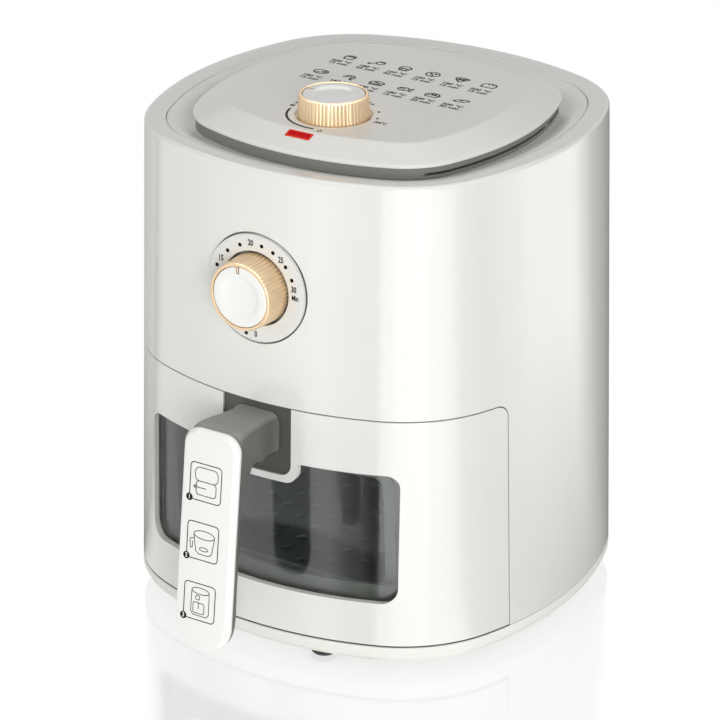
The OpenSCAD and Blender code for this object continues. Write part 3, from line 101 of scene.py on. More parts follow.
def add_node(
    tree: bpy.types.NodeTree, kind: str, inputs: Optional[dict] = None, **settings
) -> bpy.types.Node:
    """Adds one shader node with its settings and links.

    Args:
        tree: the node tree.
        kind: the node's type name.
        inputs: socket name or number to a value, or to the output socket that feeds it.
        **settings: the node's own properties.

    Returns:
        The new node.
    """
    node = tree.nodes.new(kind)
    for key, value in settings.items():
        setattr(node, key, value)
    for key, value in (inputs or {}).items():
        if isinstance(value, bpy.types.NodeSocket):
            tree.links.new(value, node.inputs[key])
        else:
            node.inputs[key].default_value = value
    return node


def empty_tree(owner: bpy.types.ID) -> bpy.types.NodeTree:
    """Returns the node tree of a material or a world, emptied."""
    owner.use_nodes = True
    owner.node_tree.nodes.clear()
    return owner.node_tree


class Surface(Enum):
    """How a surface was made, which decides the pattern that it carries."""

    MOULDED = "moulded"
    GRAINED = "grained"
    BRUSHED = "brushed"
    ROLLED = "rolled"
    COATED = "coated"
    WOUND = "wound"
    PRINTED = "printed"


# Size of each pattern, in mm, and the height of its relief, in mm. Mould polish leaves long
# soft waves; a spark-eroded mould leaves fine grain, drawn about twice too coarse so that it
# shows; brushing leaves lines; rolled sheet is nearly smooth with a faint cloud.
PATTERNS: Dict[Surface, Tuple[float, float]] = {
    Surface.MOULDED: (7.0, 0.012),
    Surface.GRAINED: (0.7, 0.035),
    Surface.BRUSHED: (0.5, 0.02),
    Surface.ROLLED: (12.0, 0.02),
    Surface.COATED: (0.9, 0.03),
    Surface.WOUND: (0.6, 0.2),
    Surface.PRINTED: (0.4, 0.003),
}


@dataclass(frozen=True)
class Material:
    """A material that is built once, when the first piece needs it.

    Attributes:
        name: the material's name in the model.
    """

    name: str

    def build(self) -> bpy.types.Material:
        """Returns the Blender material, built at the first call."""
        found = bpy.data.materials.get(self.name)
        if found:
            return found
        made = bpy.data.materials.new(self.name)
        tree = empty_tree(made)
        where = add_node(tree, "ShaderNodeTexCoord").outputs["Object"]
        surface = self.shader(tree, where).outputs[0]
        add_node(tree, "ShaderNodeOutputMaterial", {"Surface": surface})
        return made

    def shader(self, tree: bpy.types.NodeTree, where: bpy.types.NodeSocket) -> bpy.types.Node:
        """Adds the material's own nodes.

        Args:
            tree: the material's node tree.
            where: the place on the object, in metres.

        Returns:
            The node whose first output is the surface.
        """
        raise NotImplementedError


@dataclass(frozen=True)
class Finish(Material):
    """One real material with the way its surface was made.

    Attributes:
        colour: sRGB hex colour of the clean surface.
        shade: sRGB hex colour of the darker patches of its slight mottling.
        surface: how the surface was made.
        roughness: middle value of the roughness.
        metallic: 1 for bare metal.
        ior: index of refraction, left at the default for metals.
        coat: weight of a clear gloss layer.
        glow: strength of the light that it gives off.
        painted_top_light: sRGB hex colour towards which upward faces are lightened, as painted
            light on the top, or nothing.
    """

    colour: str
    shade: str
    surface: Surface
    roughness: float
    metallic: float = 0.0
    ior: float = 1.5
    coat: float = 0.0
    glow: float = 0.0
    painted_top_light: str = ""

    def shader(self, tree: bpy.types.NodeTree, where: bpy.types.NodeSocket) -> bpy.types.Node:
        """Adds a mottled colour with the pattern of the way that the surface was made."""
        size, relief = PATTERNS[self.surface]
        if self.surface in (Surface.BRUSHED, Surface.WOUND):
            where = add_node(
                tree, "ShaderNodeMapping", {"Vector": where, "Scale": (0.04, 0.04, 1.0)}
            ).outputs["Vector"]
        pattern = add_node(
            tree,
            "ShaderNodeTexNoise",
            {"Vector": where, "Scale": 1000 / size, "Detail": 3.0, "Roughness": 0.55},
        ).outputs["Fac"]
        cloud = add_node(
            tree, "ShaderNodeTexNoise", {"Vector": where, "Scale": 22.0, "Detail": 2.0}
        ).outputs["Fac"]
        mixed = add_node(
            tree,
            "ShaderNodeMix",
            {0: cloud, 6: linear(self.shade), 7: linear(self.colour)},
            data_type="RGBA",
        ).outputs[2]
        # painted light: faces that point up are mixed towards a lighter colour, so that the top
        # looks lit
        if self.painted_top_light:
            facing = add_node(tree, "ShaderNodeNewGeometry").outputs["Normal"]
            up = add_node(tree, "ShaderNodeSeparateXYZ", {"Vector": facing}).outputs["Z"]
            share = add_node(tree, "ShaderNodeMapRange", {0: up, 1: 0.45, 2: 0.95}).outputs[0]
            mixed = add_node(
                tree, "ShaderNodeMix", {0: share, 6: mixed, 7: linear(self.painted_top_light)}, data_type="RGBA"
            ).outputs[2]
        rough = add_node(
            tree,
            "ShaderNodeMapRange",
            {0: pattern, 3: max(0.02, self.roughness - 0.05), 4: min(1.0, self.roughness + 0.05)},
        ).outputs[0]
        bump = add_node(
            tree,
            "ShaderNodeBump",
            {"Height": pattern, "Distance": relief * MM, "Strength": 1.0},
        ).outputs["Normal"]
        return add_node(
            tree,
            "ShaderNodeBsdfPrincipled",
            {
                "Base Color": mixed,
                "Roughness": rough,
                "Metallic": self.metallic,
                "IOR": self.ior,
                "Coat Weight": self.coat,
                "Coat Roughness": 0.06,
                "Emission Color": linear(self.colour),
                "Emission Strength": self.glow,
                "Normal": bump,
            },
        )


@dataclass(frozen=True)
class Glass(Material):
    """Clear tempered soda-lime glass, floated and then bent, with hardly any wave.

    Attributes:
        tint: sRGB hex colour of the light that passes.
        roughness: roughness of the polished faces.
    """

    tint: str
    roughness: float = 0.02

    def shader(self, tree: bpy.types.NodeTree, where: bpy.types.NodeSocket) -> bpy.types.Node:
        """Adds clear glass that lets shadow rays through."""
        wave = add_node(
            tree, "ShaderNodeTexNoise", {"Vector": where, "Scale": 14.0, "Detail": 1.0}
        ).outputs["Fac"]
        rough = add_node(
            tree, "ShaderNodeMapRange", {0: wave, 3: self.roughness, 4: self.roughness * 2}
        ).outputs[0]
        shader = add_node(
            tree,
            "ShaderNodeBsdfPrincipled",
            {
                "Base Color": linear(self.tint),
                "Roughness": rough,
                "IOR": 1.45,
                "Transmission Weight": 1.0,
            },
        )
        # shadows pass through the pane, so that the pan behind it is lit
        clear = add_node(tree, "ShaderNodeBsdfTransparent", {"Color": linear(self.tint)})
        path = add_node(tree, "ShaderNodeLightPath")
        return add_node(
            tree,
            "ShaderNodeMixShader",
            {0: path.outputs["Is Shadow Ray"], 1: shader.outputs[0], 2: clear.outputs[0]},
        )


# Gloss ABS from a polished mould: clear soft reflections with a faint waviness
WHITE_ABS = Finish(
    "abs_white_gloss_moulded", "#e8e8e3", "#e4e4df", Surface.MOULDED, 0.14, coat=0.35
)
# The same plastic drawn a brighter white, so that the handle's cover and the knob caps look more
# lit: painted light
LIT_WHITE_ABS = Finish(
    "abs_white_painted_lit_moulded", "#f5f5f1", "#f1f1ed", Surface.MOULDED, 0.16, coat=0.3
)
# The base is left as it leaves a sandblasted mould, so it has hardly any shine
BASE_ABS = Finish("abs_white_matt_moulded", "#f0f0ea", "#ecece6", Surface.GRAINED, 0.6, ior=1.25)
# Satin ABS from a blasted mould: broad dull highlights
TOP_ABS = Finish("abs_white_satin_moulded", "#eae9e4", "#e6e5df", Surface.GRAINED, 0.3)
# The dial's disc is rougher than the body, so it stays a plain pale grey beside the gold
DIAL_ABS = Finish("abs_pale_grey_satin_moulded", "#e3e4e1", "#dfe0dd", Surface.GRAINED, 0.42)
# Matt ABS with spark-eroded grain: hardly any highlight
DARK_ABS = Finish("abs_dark_grey_grained", "#646661", "#5e605b", Surface.GRAINED, 0.48)
# The same dark grey for the handle's core, with its upward faces drawn lighter: painted light on
# its top
DARK_ABS_PAINTED_LIT_TOP = Finish(
    "abs_dark_grey_painted_lit_top", "#5f615c", "#595b56", Surface.GRAINED, 0.48, painted_top_light="#8b8d87"
)
# A deeper grey, used as painted shade: in the drawer's seam, in the dial's gap and on the plate
# behind the handle
PAINTED_SHADE_ABS = Finish("abs_charcoal_painted_shade", "#4a4c47", "#454742", Surface.GRAINED, 0.55)
# A lighter grey wall that stays readable under the plate's shadow
MID_ABS = Finish("abs_mid_grey_grained", "#84857f", "#7d7e78", Surface.GRAINED, 0.5)
# ABS with a thin plated gold layer over moulded flutes: warm metal sheen, softened by grain
GOLD_ABS = Finish(
    "abs_gold_plated_fluted", "#efd6b2", "#dcc09b", Surface.GRAINED, 0.3, metallic=0.6
)
# Acrylic, coloured through and lit from behind: a deep even red with an orange rim
RED_ACRYLIC = Finish(
    "acrylic_red_moulded", "#c01018", "#b50e14", Surface.MOULDED, 0.5, ior=1.12, glow=0.2
)
ORANGE_ACRYLIC = Finish(
    "acrylic_orange_red_edge", "#e8452b", "#e03d25", Surface.MOULDED, 0.45, ior=1.15, glow=0.15
)
# Pad-printed ink: flat dark film with a slight sheen
INK = Finish("ink_black_printed", "#1b1b1a", "#171716", Surface.PRINTED, 0.55, ior=1.15)
INK_GREY = Finish("ink_grey_printed", "#353633", "#31322f", Surface.PRINTED, 0.5, ior=1.2)
INK_WHITE = Finish("ink_white_printed", "#e9e8e3", "#e4e3de", Surface.PRINTED, 0.45)
# Silicone rubber: no gloss, soft edges
RUBBER_BLACK = Finish("rubber_black_moulded", "#2a2a2a", "#262626", Surface.GRAINED, 0.7)
SILICONE_WHITE = Finish("silicone_white_moulded", "#dddcd6", "#d8d7d1", Surface.GRAINED, 0.55)
SILICONE_RED = Finish("silicone_red_moulded", "#8f2f25", "#86291f", Surface.GRAINED, 0.55)
# Metals of the works: rolled sheet is even with a faint cloud, drawn wire has a line along it,
# the heater's tube is stained by its heat and the winding shows its turns
SHEET_STEEL = Finish(
    "steel_sheet_rolled", "#a9adb0", "#a0a4a7", Surface.ROLLED, 0.38, metallic=1.0
)
BRIGHT_STEEL = Finish(
    "steel_wire_polished", "#c9ccce", "#c0c4c7", Surface.BRUSHED, 0.2, metallic=1.0
)
ALUMINIUM = Finish(
    "aluminium_sheet_bright", "#cfd1d2", "#c5c8ca", Surface.ROLLED, 0.3, metallic=1.0
)
LAMINATIONS = Finish(
    "steel_laminations_varnished", "#74777a", "#5d6063", Surface.BRUSHED, 0.5, metallic=0.8
)
HEATER_TUBE = Finish(
    "steel_tube_heat_stained", "#7d7a76", "#6a625c", Surface.ROLLED, 0.42, metallic=1.0
)
COPPER_WIRE = Finish(
    "copper_winding_enamelled", "#b5652f", "#9a5022", Surface.WOUND, 0.35, metallic=0.9
)
COPPER_TUBE = Finish("copper_tube_drawn", "#b87a4a", "#a96c3e", Surface.BRUSHED, 0.3, metallic=1.0)
ZINC = Finish("steel_zinc_plated", "#b9bbba", "#aeb1b1", Surface.ROLLED, 0.35, metallic=1.0)
# Glazed ceramic, and the small mouldings of nylon and phenolic
CERAMIC = Finish("ceramic_glazed_cream", "#e4ddc8", "#dcd4bd", Surface.MOULDED, 0.25, coat=0.4)
FAN_PLASTIC = Finish("nylon_cream_moulded", "#e6e4da", "#dfddd2", Surface.GRAINED, 0.45)
SWITCH_BLACK = Finish("phenolic_black_moulded", "#26282a", "#222426", Surface.GRAINED, 0.45)
SWITCH_RED = Finish("nylon_red_moulded", "#c23b2e", "#b73529", Surface.GRAINED, 0.4)
# Non-stick coat sprayed on steel: fine orange-peel with a dull sheen
PAN_COAT = Finish("nonstick_grey_sprayed", "#747672", "#6c6e6a", Surface.COATED, 0.42)
# Glass: the outer pane, the pan's own pane and the neon lamp's bulb
WINDOW_GLASS = Glass("glass_window_tempered", "#dfe2e1")
PAN_GLASS = Glass("glass_pan_tempered", "#e8ebea")
LAMP_GLASS = Glass("glass_neon_lamp", "#f2c9a8")


# ---------------------------------------------------------------- flat shapes


def corner(a: Point2, p: Point2, b: Point2, r: float, n: int) -> List[Point2]:
    """Rounds the corner at p between a and b.

    Args:
        a: the point before.
        p: the corner.
        b: the point after.
        r: the radius.
        n: the number of steps.

    Returns:
        The points of the arc.
    """
    pa, pp, pb = np.array(a[:2], float), np.array(p[:2], float), np.array(b[:2], float)
    u = (pa - pp) / np.linalg.norm(pa - pp)
    v = (pb - pp) / np.linalg.norm(pb - pp)
    half = math.acos(float(np.clip(u @ v, -1, 1))) / 2
    c = pp + (u + v) / np.linalg.norm(u + v) * r / math.sin(half)
    s = pp + u * r / math.tan(half) - c
    e = pp + v * r / math.tan(half) - c
    start = math.atan2(s[1], s[0])
    turn = math.atan2(s[0] * e[1] - s[1] * e[0], float(s @ e))
    return [
        (c[0] + r * math.cos(start + turn * i / n), c[1] + r * math.sin(start + turn * i / n))
        for i in range(n + 1)
    ]


def rounded(points: Sequence[Sequence[float]], n: int = 10) -> List[Point2]:
    """Rounds the corners of a polygon.

    Args:
        points: corners as (x, y, radius).
        n: steps round each corner.

    Returns:
        The rounded outline.
    """
    out: List[Point2] = []
    for i, p in enumerate(points):
        a, b = points[i - 1], points[(i + 1) % len(points)]
        out += corner(a, p, b, p[2], n) if p[2] > 0 else [(p[0], p[1])]
    return out


def rect(x0: float, y0: float, x1: float, y1: float, r: float) -> List[Sequence[float]]:
    """Returns a rectangle's corners with one radius."""
    return [(x0, y0, r), (x1, y0, r), (x1, y1, r), (x0, y1, r)]


def arc(
    cx: float, cy: float, rx: float, ry: float, a0: float = 0, a1: float = 360, n: int = 24
) -> List[Point2]:
    """Returns the points of an elliptical arc, with angles in degrees."""
    return [
        (
            cx + rx * math.cos(math.radians(a0 + (a1 - a0) * i / n)),
            cy + ry * math.sin(math.radians(a0 + (a1 - a0) * i / n)),
        )
        for i in range(n + 1)
    ]


def polar(r: float, a: float) -> Point2:
    """Returns the point at a distance r and an angle a in radians."""
    return (r * math.cos(a), r * math.sin(a))


def circle(r: float, n: int) -> List[Point2]:
    """Returns n points round a circle."""
    return [polar(r, 2 * math.pi * i / n) for i in range(n)]


def spots_at(places: Sequence[Point2], r: float, n: int) -> List[List[Point2]]:
    """Returns a round spot of radius r at each place."""
    return [[(x + r * u, y + r * v) for u, v in arc(0, 0, 1, 1, n=n)[:-1]] for x, y in places]


# ---------------------------------------------------------------- meshes


def to_row(points: Iterable[Point3]) -> np.ndarray:
    """Turns body millimetres to row metres."""
    out = np.array(list(points), float).reshape(-1, 3)
    out[:, 1] += CENTRE_Y
    return out * MM


def mesh_object(
    name: str, points: Iterable[Point3], faces: Sequence[Sequence[int]], sharp: float = SHARP
) -> bpy.types.Object:
    """Makes a mesh object from points in body millimetres.

    Args:
        name: the object's name.
        points: the vertices.
        faces: vertex numbers of each face.
        sharp: angle in degrees above which an edge stays sharp.

    Returns:
        The object, linked to the scene.
    """
    mesh = bpy.data.meshes.new(name)
    mesh.from_pydata([tuple(p) for p in to_row(points)], [], [tuple(f) for f in faces])
    mesh.validate()
    mesh.shade_smooth()
    mesh.set_sharp_from_angle(angle=math.radians(sharp))
    made = bpy.data.objects.new(name, mesh)
    bpy.context.scene.collection.objects.link(made)
    return made


def loft(
    name: str, rings: Sequence[Ring], loop: bool = False, sharp: float = SHARP
) -> bpy.types.Object:
    """Stretches a skin over rings of equal length.

    Args:
        name: the object's name.
        rings: the rings of points, each anticlockwise as seen from the last ring's side.
        loop: whether the last ring joins the first; otherwise the end rings are filled.
        sharp: angle in degrees above which an edge stays sharp.

    Returns:
        The object.
    """
    n, m = len(rings[0]), len(rings)
    points = [p for ring in rings for p in ring]
    faces: List[List[int]] = []
    for i in range(m if loop else m - 1):
        a, b = i * n, (i + 1) % m * n
        faces += [[a + j, a + (j + 1) % n, b + (j + 1) % n, b + j] for j in range(n)]
    if not loop:
        faces.append(list(range(n - 1, -1, -1)))
        faces.append([(m - 1) * n + j for j in range(n)])
    return mesh_object(name, points, faces, sharp)


def prism(points: Sequence[Point2], axis: str, low: float, high: float) -> bpy.types.Object:
    """Makes a cutter: a flat shape stretched along an axis.

    Args:
        points: the outline. It is (x, y) for axis z, (x, z) for y and (y, z) for x.
        axis: "x", "y" or "z".
        low: where it starts.
        high: where it ends.

    Returns:
        The cutter object.
    """
    place: Dict[str, Callable[[Point2, float], Point3]] = {
        "x": lambda p, h: (h, p[0], p[1]),
        "y": lambda p, h: (p[0], h, p[1]),
        "z": lambda p, h: (p[0], p[1], h),
    }
    rings = [[place[axis](p, h) for p in points] for h in (low, high)]
    made = loft("cutter", rings)
    made.data.update()
    # a cutter that was wound inside out is turned
    made.data.calc_loop_triangles()
    co = np.array([v.co for v in made.data.vertices], float)
    corners = [co[list(tri.vertices)] for tri in made.data.loop_triangles]
    if sum(float(np.dot(a, np.cross(b, c))) for a, b, c in corners) < 0:
        made.data.flip_normals()
    return made


def disc(r: float, y0: float, y1: float, centre: Point2, n: int = 96) -> bpy.types.Object:
    """Makes a round cutter along y, with its centre at (x, z)."""
    return prism([(centre[0] + u, centre[1] + v) for u, v in circle(r, n)], "y", y0, y1)


def apply_cut(
    piece: bpy.types.Object, cutter: bpy.types.Object, keep: str = "DIFFERENCE"
) -> None:
    """Cuts a piece with a cutter and deletes the cutter.

    Args:
        piece: the object whose mesh changes.
        cutter: the cutting object.
        keep: "DIFFERENCE" to take the cutter away, "INTERSECT" to keep what is inside it.
    """
    modifier = piece.modifiers.new("cut", "BOOLEAN")
    modifier.object = cutter
    modifier.operation = keep
    modifier.solver = "EXACT"
    bpy.context.view_layer.update()
    graph = bpy.context.evaluated_depsgraph_get()
    shape = bpy.data.meshes.new_from_object(piece.evaluated_get(graph))
    piece.modifiers.clear()
    old, piece.data = piece.data, shape
    bpy.data.meshes.remove(old)
    shape.name = piece.name
    bpy.data.objects.remove(cutter)


def resharpen(piece: bpy.types.Object, sharp: float = SHARP) -> None:
    """Marks smooth faces and sharp edges again after cutting."""
    piece.data.shade_smooth()
    piece.data.set_sharp_from_angle(angle=math.radians(sharp))


def dress(
    piece: bpy.types.Object,
    finish: Material,
    body: str,
    replaces: Sequence[str] = (),
) -> bpy.types.Object:
    """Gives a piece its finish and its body.

    Args:
        piece: the object.
        finish: its material.
        body: the CAD body that it rides on.
        replaces: the CAD nodes that it stands for.

    Returns:
        The piece.
    """
    piece.data.materials.clear()
    piece.data.materials.append(finish.build())
    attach(piece, body)
    if replaces:
        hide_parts(*replaces)
    LOG.info("%s: %d faces on %s", piece.name, len(piece.data.polygons), body)
    return piece


# ---------------------------------------------------------------- the body's form


@dataclass(frozen=True)
class BodyPlan:
    """The plan that every shell shares: four side arcs joined by four tangent corner arcs."""

    width: float = 277.6
    depth: float = 276.0
    height: float = 291.0
    draft: float = 7.5
    side_r: float = 214.0
    corner_r: float = 83.0
    foot_z: float = 18.0
    side_steps: int = 22
    corner_steps: int = 26

    @property
    def arc_x(self) -> float:
        """Distance of the right side's arc centre left of the middle."""
        return self.side_r - self.width / 2

    @property
    def arc_y(self) -> float:
        """Distance of the back's arc centre in front of the middle."""
        return self.side_r - self.depth / 2

    @property
    def corner_centre(self) -> Point2:
        """Centre of the back right corner's arc."""
        gap = self.side_r - self.corner_r
        ax, ay = self.arc_x, self.arc_y
        m = ay / ax
        k = (ay * ay - ax * ax) / (2 * ax)
        b = m * k + ay
        a = m * m + 1
        cy = (math.sqrt(b * b - a * (k * k + ay * ay - gap * gap)) - b) / a
        return (m * cy + k, cy)

    @property
    def turns(self) -> Point2:
        """Angles at which the corner's arc starts and ends."""
        cx, cy = self.corner_centre
        return (math.atan2(cy, cx + self.arc_x), math.atan2(cy + self.arc_y, cx))

    def quarter(self, t: float) -> List[Point2]:
        """Returns a quarter of the outline, moved in by t."""
        cx, cy = self.corner_centre
        a0, a1 = self.turns
        side, turn = self.side_r - t, self.corner_r - t
        out: List[Point2] = []
        for i in range(self.side_steps):
            x, y = polar(side, a0 * i / self.side_steps)
            out.append((x - self.arc_x, y))
        for i in range(self.corner_steps):
            x, y = polar(turn, a0 + (a1 - a0) * i / self.corner_steps)
            out.append((cx + x, cy + y))
        for i in range(self.side_steps + 1):
            x, y = polar(side, a1 + (math.pi / 2 - a1) * i / self.side_steps)
            out.append((x, y - self.arc_y))
        return out

    def outline(self, t: float) -> List[Point2]:
        """Returns the whole outline, moved in by t."""
        q = self.quarter(t)
        back = q[::-1][1:]
        left = [(-x, y) for x, y in back] + [(-x, -y) for x, y in q[1:]]
        return q + left + [(x, -y) for x, y in back[:-1]]

    def rings(self, profile: Sequence[Point2]) -> List[Ring]:
        """Returns a ring for each (inset, height) of a profile."""
        return [[(x, y, z) for x, y in self.outline(t)] for t, z in profile]

    def lean(self, z: float) -> float:
        """Returns how far the leaning side lies inside the outline at height z."""
        return self.draft * (z - self.foot_z) / self.height

    def leaned(self, t: float, z: float) -> Point2:
        """Returns a profile point at t inside the leaning side."""
        return (t + self.lean(z), z)

    def front_y(self, z: float) -> float:
        """Returns where the middle of the front lies at height z."""
        return self.lean(z) - self.depth / 2

    def side_normal(self, x: float, y: float) -> Tuple[float, float, float]:
        """Finds the outline's inset and outward direction at a point.

        Args:
            x: the point's x.
            y: the point's y.

        Returns:
            The inset, and the two parts of the outward direction.
        """
        sx, sy = (1 if x >= 0 else -1), (1 if y >= 0 else -1)
        px, py = abs(x), abs(y)
        cx, cy = self.corner_centre
        a0, a1 = self.turns
        if math.atan2(py, px + self.arc_x) <= a0:
            ox, oy, r = px + self.arc_x, py, self.side_r
        elif math.atan2(py + self.arc_y, px) >= a1:
            ox, oy, r = px, py + self.arc_y, self.side_r
        else:
            ox, oy, r = px - cx, py - cy, self.corner_r
        length = math.hypot(ox, oy) or 1.0
        return (r - length, sx * ox / length, sy * oy / length)

    def smooth_sides(self, piece: bpy.types.Object, offset: float = 0.0) -> None:
        """Gives the faces on a leaning side the side's own exact normals.

        Args:
            piece: a shell that was cut.
            offset: how far that side lies inside the body's own.
        """
        mesh = piece.data
        normals = [tuple(c.vector) for c in mesh.corner_normals]
        rise = self.draft / self.height
        near = 0.06  # mm off the side within which a corner counts as on it
        facing = 0.9  # cosine above which a face counts as part of the side
        for face in mesh.polygons:
            corners = [mesh.vertices[v].co / MM for v in face.vertices]
            found = []
            for c in corners:
                inset, nx, ny = self.side_normal(c.x, c.y - CENTRE_Y)
                if abs(inset - self.lean(c.z) - offset) > near:
                    break
                found.append((nx, ny))
            if len(found) < len(corners):
                continue
            across, along = face.normal.x, face.normal.y
            if math.hypot(across, along) < facing:
                continue
            if across * found[0][0] + along * found[0][1] < facing:
                continue
            for loop, (nx, ny) in zip(face.loop_indices, found):
                scale = 1 / math.hypot(1.0, rise)
                normals[loop] = (nx * scale, ny * scale, rise * scale)
        mesh.normals_split_custom_set(normals)


PLAN = BodyPlan()


@dataclass(frozen=True)
class Levels:
    """Heights above the table that the sub-assemblies share."""

    foot: float = 18.0
    drawer_low: float = 18.8
    drawer_high: float = 164.0
    dial: float = 235.8
    dial_proud: float = 0.6
    moat: float = 302.0
    rim: float = 309.0
    plate_low: float = 309.4
    plate_edge: float = 311.6
    plate_top: float = 318.2
    seam: float = 0.8
    drawer_back_y: float = -57.0
    drawer_corner_r: float = 8.0


LEVELS = Levels()


def drawer_side(grow: float, far: float = -300.0) -> List[Point2]:
    """Returns the side view of the drawer's front, grown by some mm.

    Args:
        grow: how much wider than the drawer's front.
        far: the y where the shape ends in front.

    Returns:
        The outline in (y, z).
    """
    low, high = LEVELS.drawer_low - grow, LEVELS.drawer_high + grow
    back, r = LEVELS.drawer_back_y + grow, LEVELS.drawer_corner_r + grow
    return rounded([(far, low, 0), (back, low, 0), (back, high, r), (far, high, 0)], 12)


# ---------------------------------------------------------------- housing


@dataclass
class Housing:
    """The outer shell, the top cover with its moat, the air intake and the base."""

    wall: float = 3.0
    rim_r: float = 2.6
    rim_w: float = 12.8
    rim_fall: float = 1.2
    plate_inset: float = 29.0
    dial_r: float = 34.1
    dial_sink: float = 2.9
    dial_bore_r: float = 27.0
    vent_half_w: float = 45.0
    vent_low: float = 170.0
    vent_high: float = 210.0
    gland: Point2 = (60.0, 44.0)
    gland_half_w: float = 7.3
    cover_wall: float = 2.2
    slot_from_x: float = 80.0
    slot_posts: int = 5
    base_wall: float = 2.4
    base_tuck: float = 12.0
    base_lip_h: float = 4.8
    base_low: float = 3.0
    seam_shade_t: float = 0.3

    def shell(self) -> bpy.types.Object:
        """Builds the outer shell with its openings."""
        z, d, wall = LEVELS.rim, PLAN.draft, self.wall
        cover_t = d + self.rim_w
        lip = z - self.rim_fall - wall
        profile = [PLAN.leaned(0, LEVELS.foot + 0.4), PLAN.leaned(0, z - self.rim_r - 8)]
        for a in np.radians(range(0, 91, 10)):
            profile.append((d + self.rim_r * (1 - math.cos(a)), z - self.rim_r * (1 - math.sin(a))))
        profile += [
            (cover_t - 0.5, z - self.rim_fall + 0.06), (cover_t, z - self.rim_fall - 0.4),
            (cover_t, lip), (d + wall + self.rim_r, lip), PLAN.leaned(wall, lip - self.rim_r),
            (wall, LEVELS.foot), (0.4, LEVELS.foot),
        ]
        shell = loft("outer_housing_shell", PLAN.rings(profile), loop=True)
        apply_cut(shell, prism(drawer_side(LEVELS.seam), "x", -FAR, FAR))
        y0, centre = PLAN.front_y(LEVELS.dial), (0.0, LEVELS.dial)
        apply_cut(shell, disc(self.dial_r + FIT, y0 - 20, y0 + self.dial_sink, centre))
        apply_cut(shell, disc(self.dial_bore_r, y0 - 20, y0 + 20, centre))
        vent = rect(-self.vent_half_w, self.vent_low, self.vent_half_w, self.vent_high, 6)
        apply_cut(shell, prism(rounded(vent), "y", *BACK_WALL))
        x, z, w = *self.gland, self.gland_half_w
        notch = [(x - w, 0), (x + w, 0), (x + w, z + w), (x - w, z + w)]
        apply_cut(shell, prism(notch, "y", *BACK_WALL))
        resharpen(shell)
        PLAN.smooth_sides(shell)
        return dress(shell, WHITE_ABS, "housing", ["outer_housing"])

    def seam_shade(self) -> bpy.types.Object:
        """Builds a thin dark strip at the bottom of the drawer's seam: painted shade in the gap."""
        low, high = LEVELS.foot - 2, LEVELS.drawer_high + 4
        turns = ((self.seam_shade_t, low), (self.seam_shade_t, high), (self.wall, high), (self.wall, low))
        profile = [PLAN.leaned(t, z) for t, z in turns]
        strip = loft("drawer_seam_painted_shade", PLAN.rings(profile), loop=True)
        apply_cut(strip, prism(drawer_side(LEVELS.seam - 0.02), "x", -FAR, FAR), "INTERSECT")
        apply_cut(strip, prism(drawer_side(FIT), "x", -FAR, FAR))
        resharpen(strip)
        return dress(strip, PAINTED_SHADE_ABS, "housing")

    def cover(self) -> bpy.types.Object:
        """Builds the cover whose moat leads air in under the plate."""
        z, moat, wall = LEVELS.rim - self.rim_fall, LEVELS.moat, self.cover_wall
        edge = PLAN.draft + self.rim_w + FIT
        plate = PLAN.draft + self.plate_inset
        low = z - self.wall - 3.2
        profile = [(edge, z - 1.0), (edge + 0.4, z - 0.45), (edge + 1.6, z - 0.7)]
        for i in range(1, 13):
            s = i / 12
            drop = (z - 0.7 - moat) * (0.5 - 0.5 * math.cos(math.pi * s))
            profile.append((edge + 1.6 + (plate + 1.0 - edge - 1.6) * s, z - 0.7 - drop))
        profile += [
            (plate + 27.6, moat), (plate + 27.6, moat - wall), (plate - 3, moat - wall),
            (edge + 8, moat - wall + 0.9), (edge + 2.4, low), (edge - 5.3, low),
            (edge - 5.3, low + 2.9), (edge, low + 2.9),
        ]
        cover = loft("top_cover_moat", PLAN.rings(profile), loop=True)
        return dress(cover, TOP_ABS, "housing", ["top_cover"])

    def intake(self) -> bpy.types.Object:
        """Builds the dark wall under the plate, with the air slot on its right and back."""
        t = PLAN.draft + self.plate_inset + 1.6
        low, high = LEVELS.moat + FIT, LEVELS.plate_low - FIT
        profile = [(t, low), (t, high), (t + 2.6, high), (t + 2.6, low + 1.7)]
        profile += [(t + 7, low + 1.7), (t + 7, low)]
        wall = loft("intake_grille_wall", PLAN.rings(profile), loop=True)
        slot_low, slot_high = LEVELS.moat + 2.2, LEVELS.moat + 3.8
        profile = [(t - 4, slot_low), (t - 4, slot_high), (t + 3.1, slot_high), (t + 3.1, slot_low)]
        slot = loft("cutter", PLAN.rings(profile), loop=True)
        x = self.slot_from_x
        front = [(-140, -140), (x, -140), (x, -20), (-140, -20)]
        apply_cut(slot, prism(front, "z", *TOP_WALL))
        for i in range(self.slot_posts):
            a = math.radians(20 + 40 * i)
            u, v = (math.cos(a), math.sin(a)), (-math.sin(a), math.cos(a))
            ends = ((60, -2), (140, -2), (140, 2), (60, 2))
            post = [(u[0] * r + v[0] * w, u[1] * r + v[1] * w) for r, w in ends]
            apply_cut(slot, prism(post, "z", *TOP_WALL))
        apply_cut(wall, slot)
        resharpen(wall)
        return dress(wall, MID_ABS, "housing", ["intake_grille"])

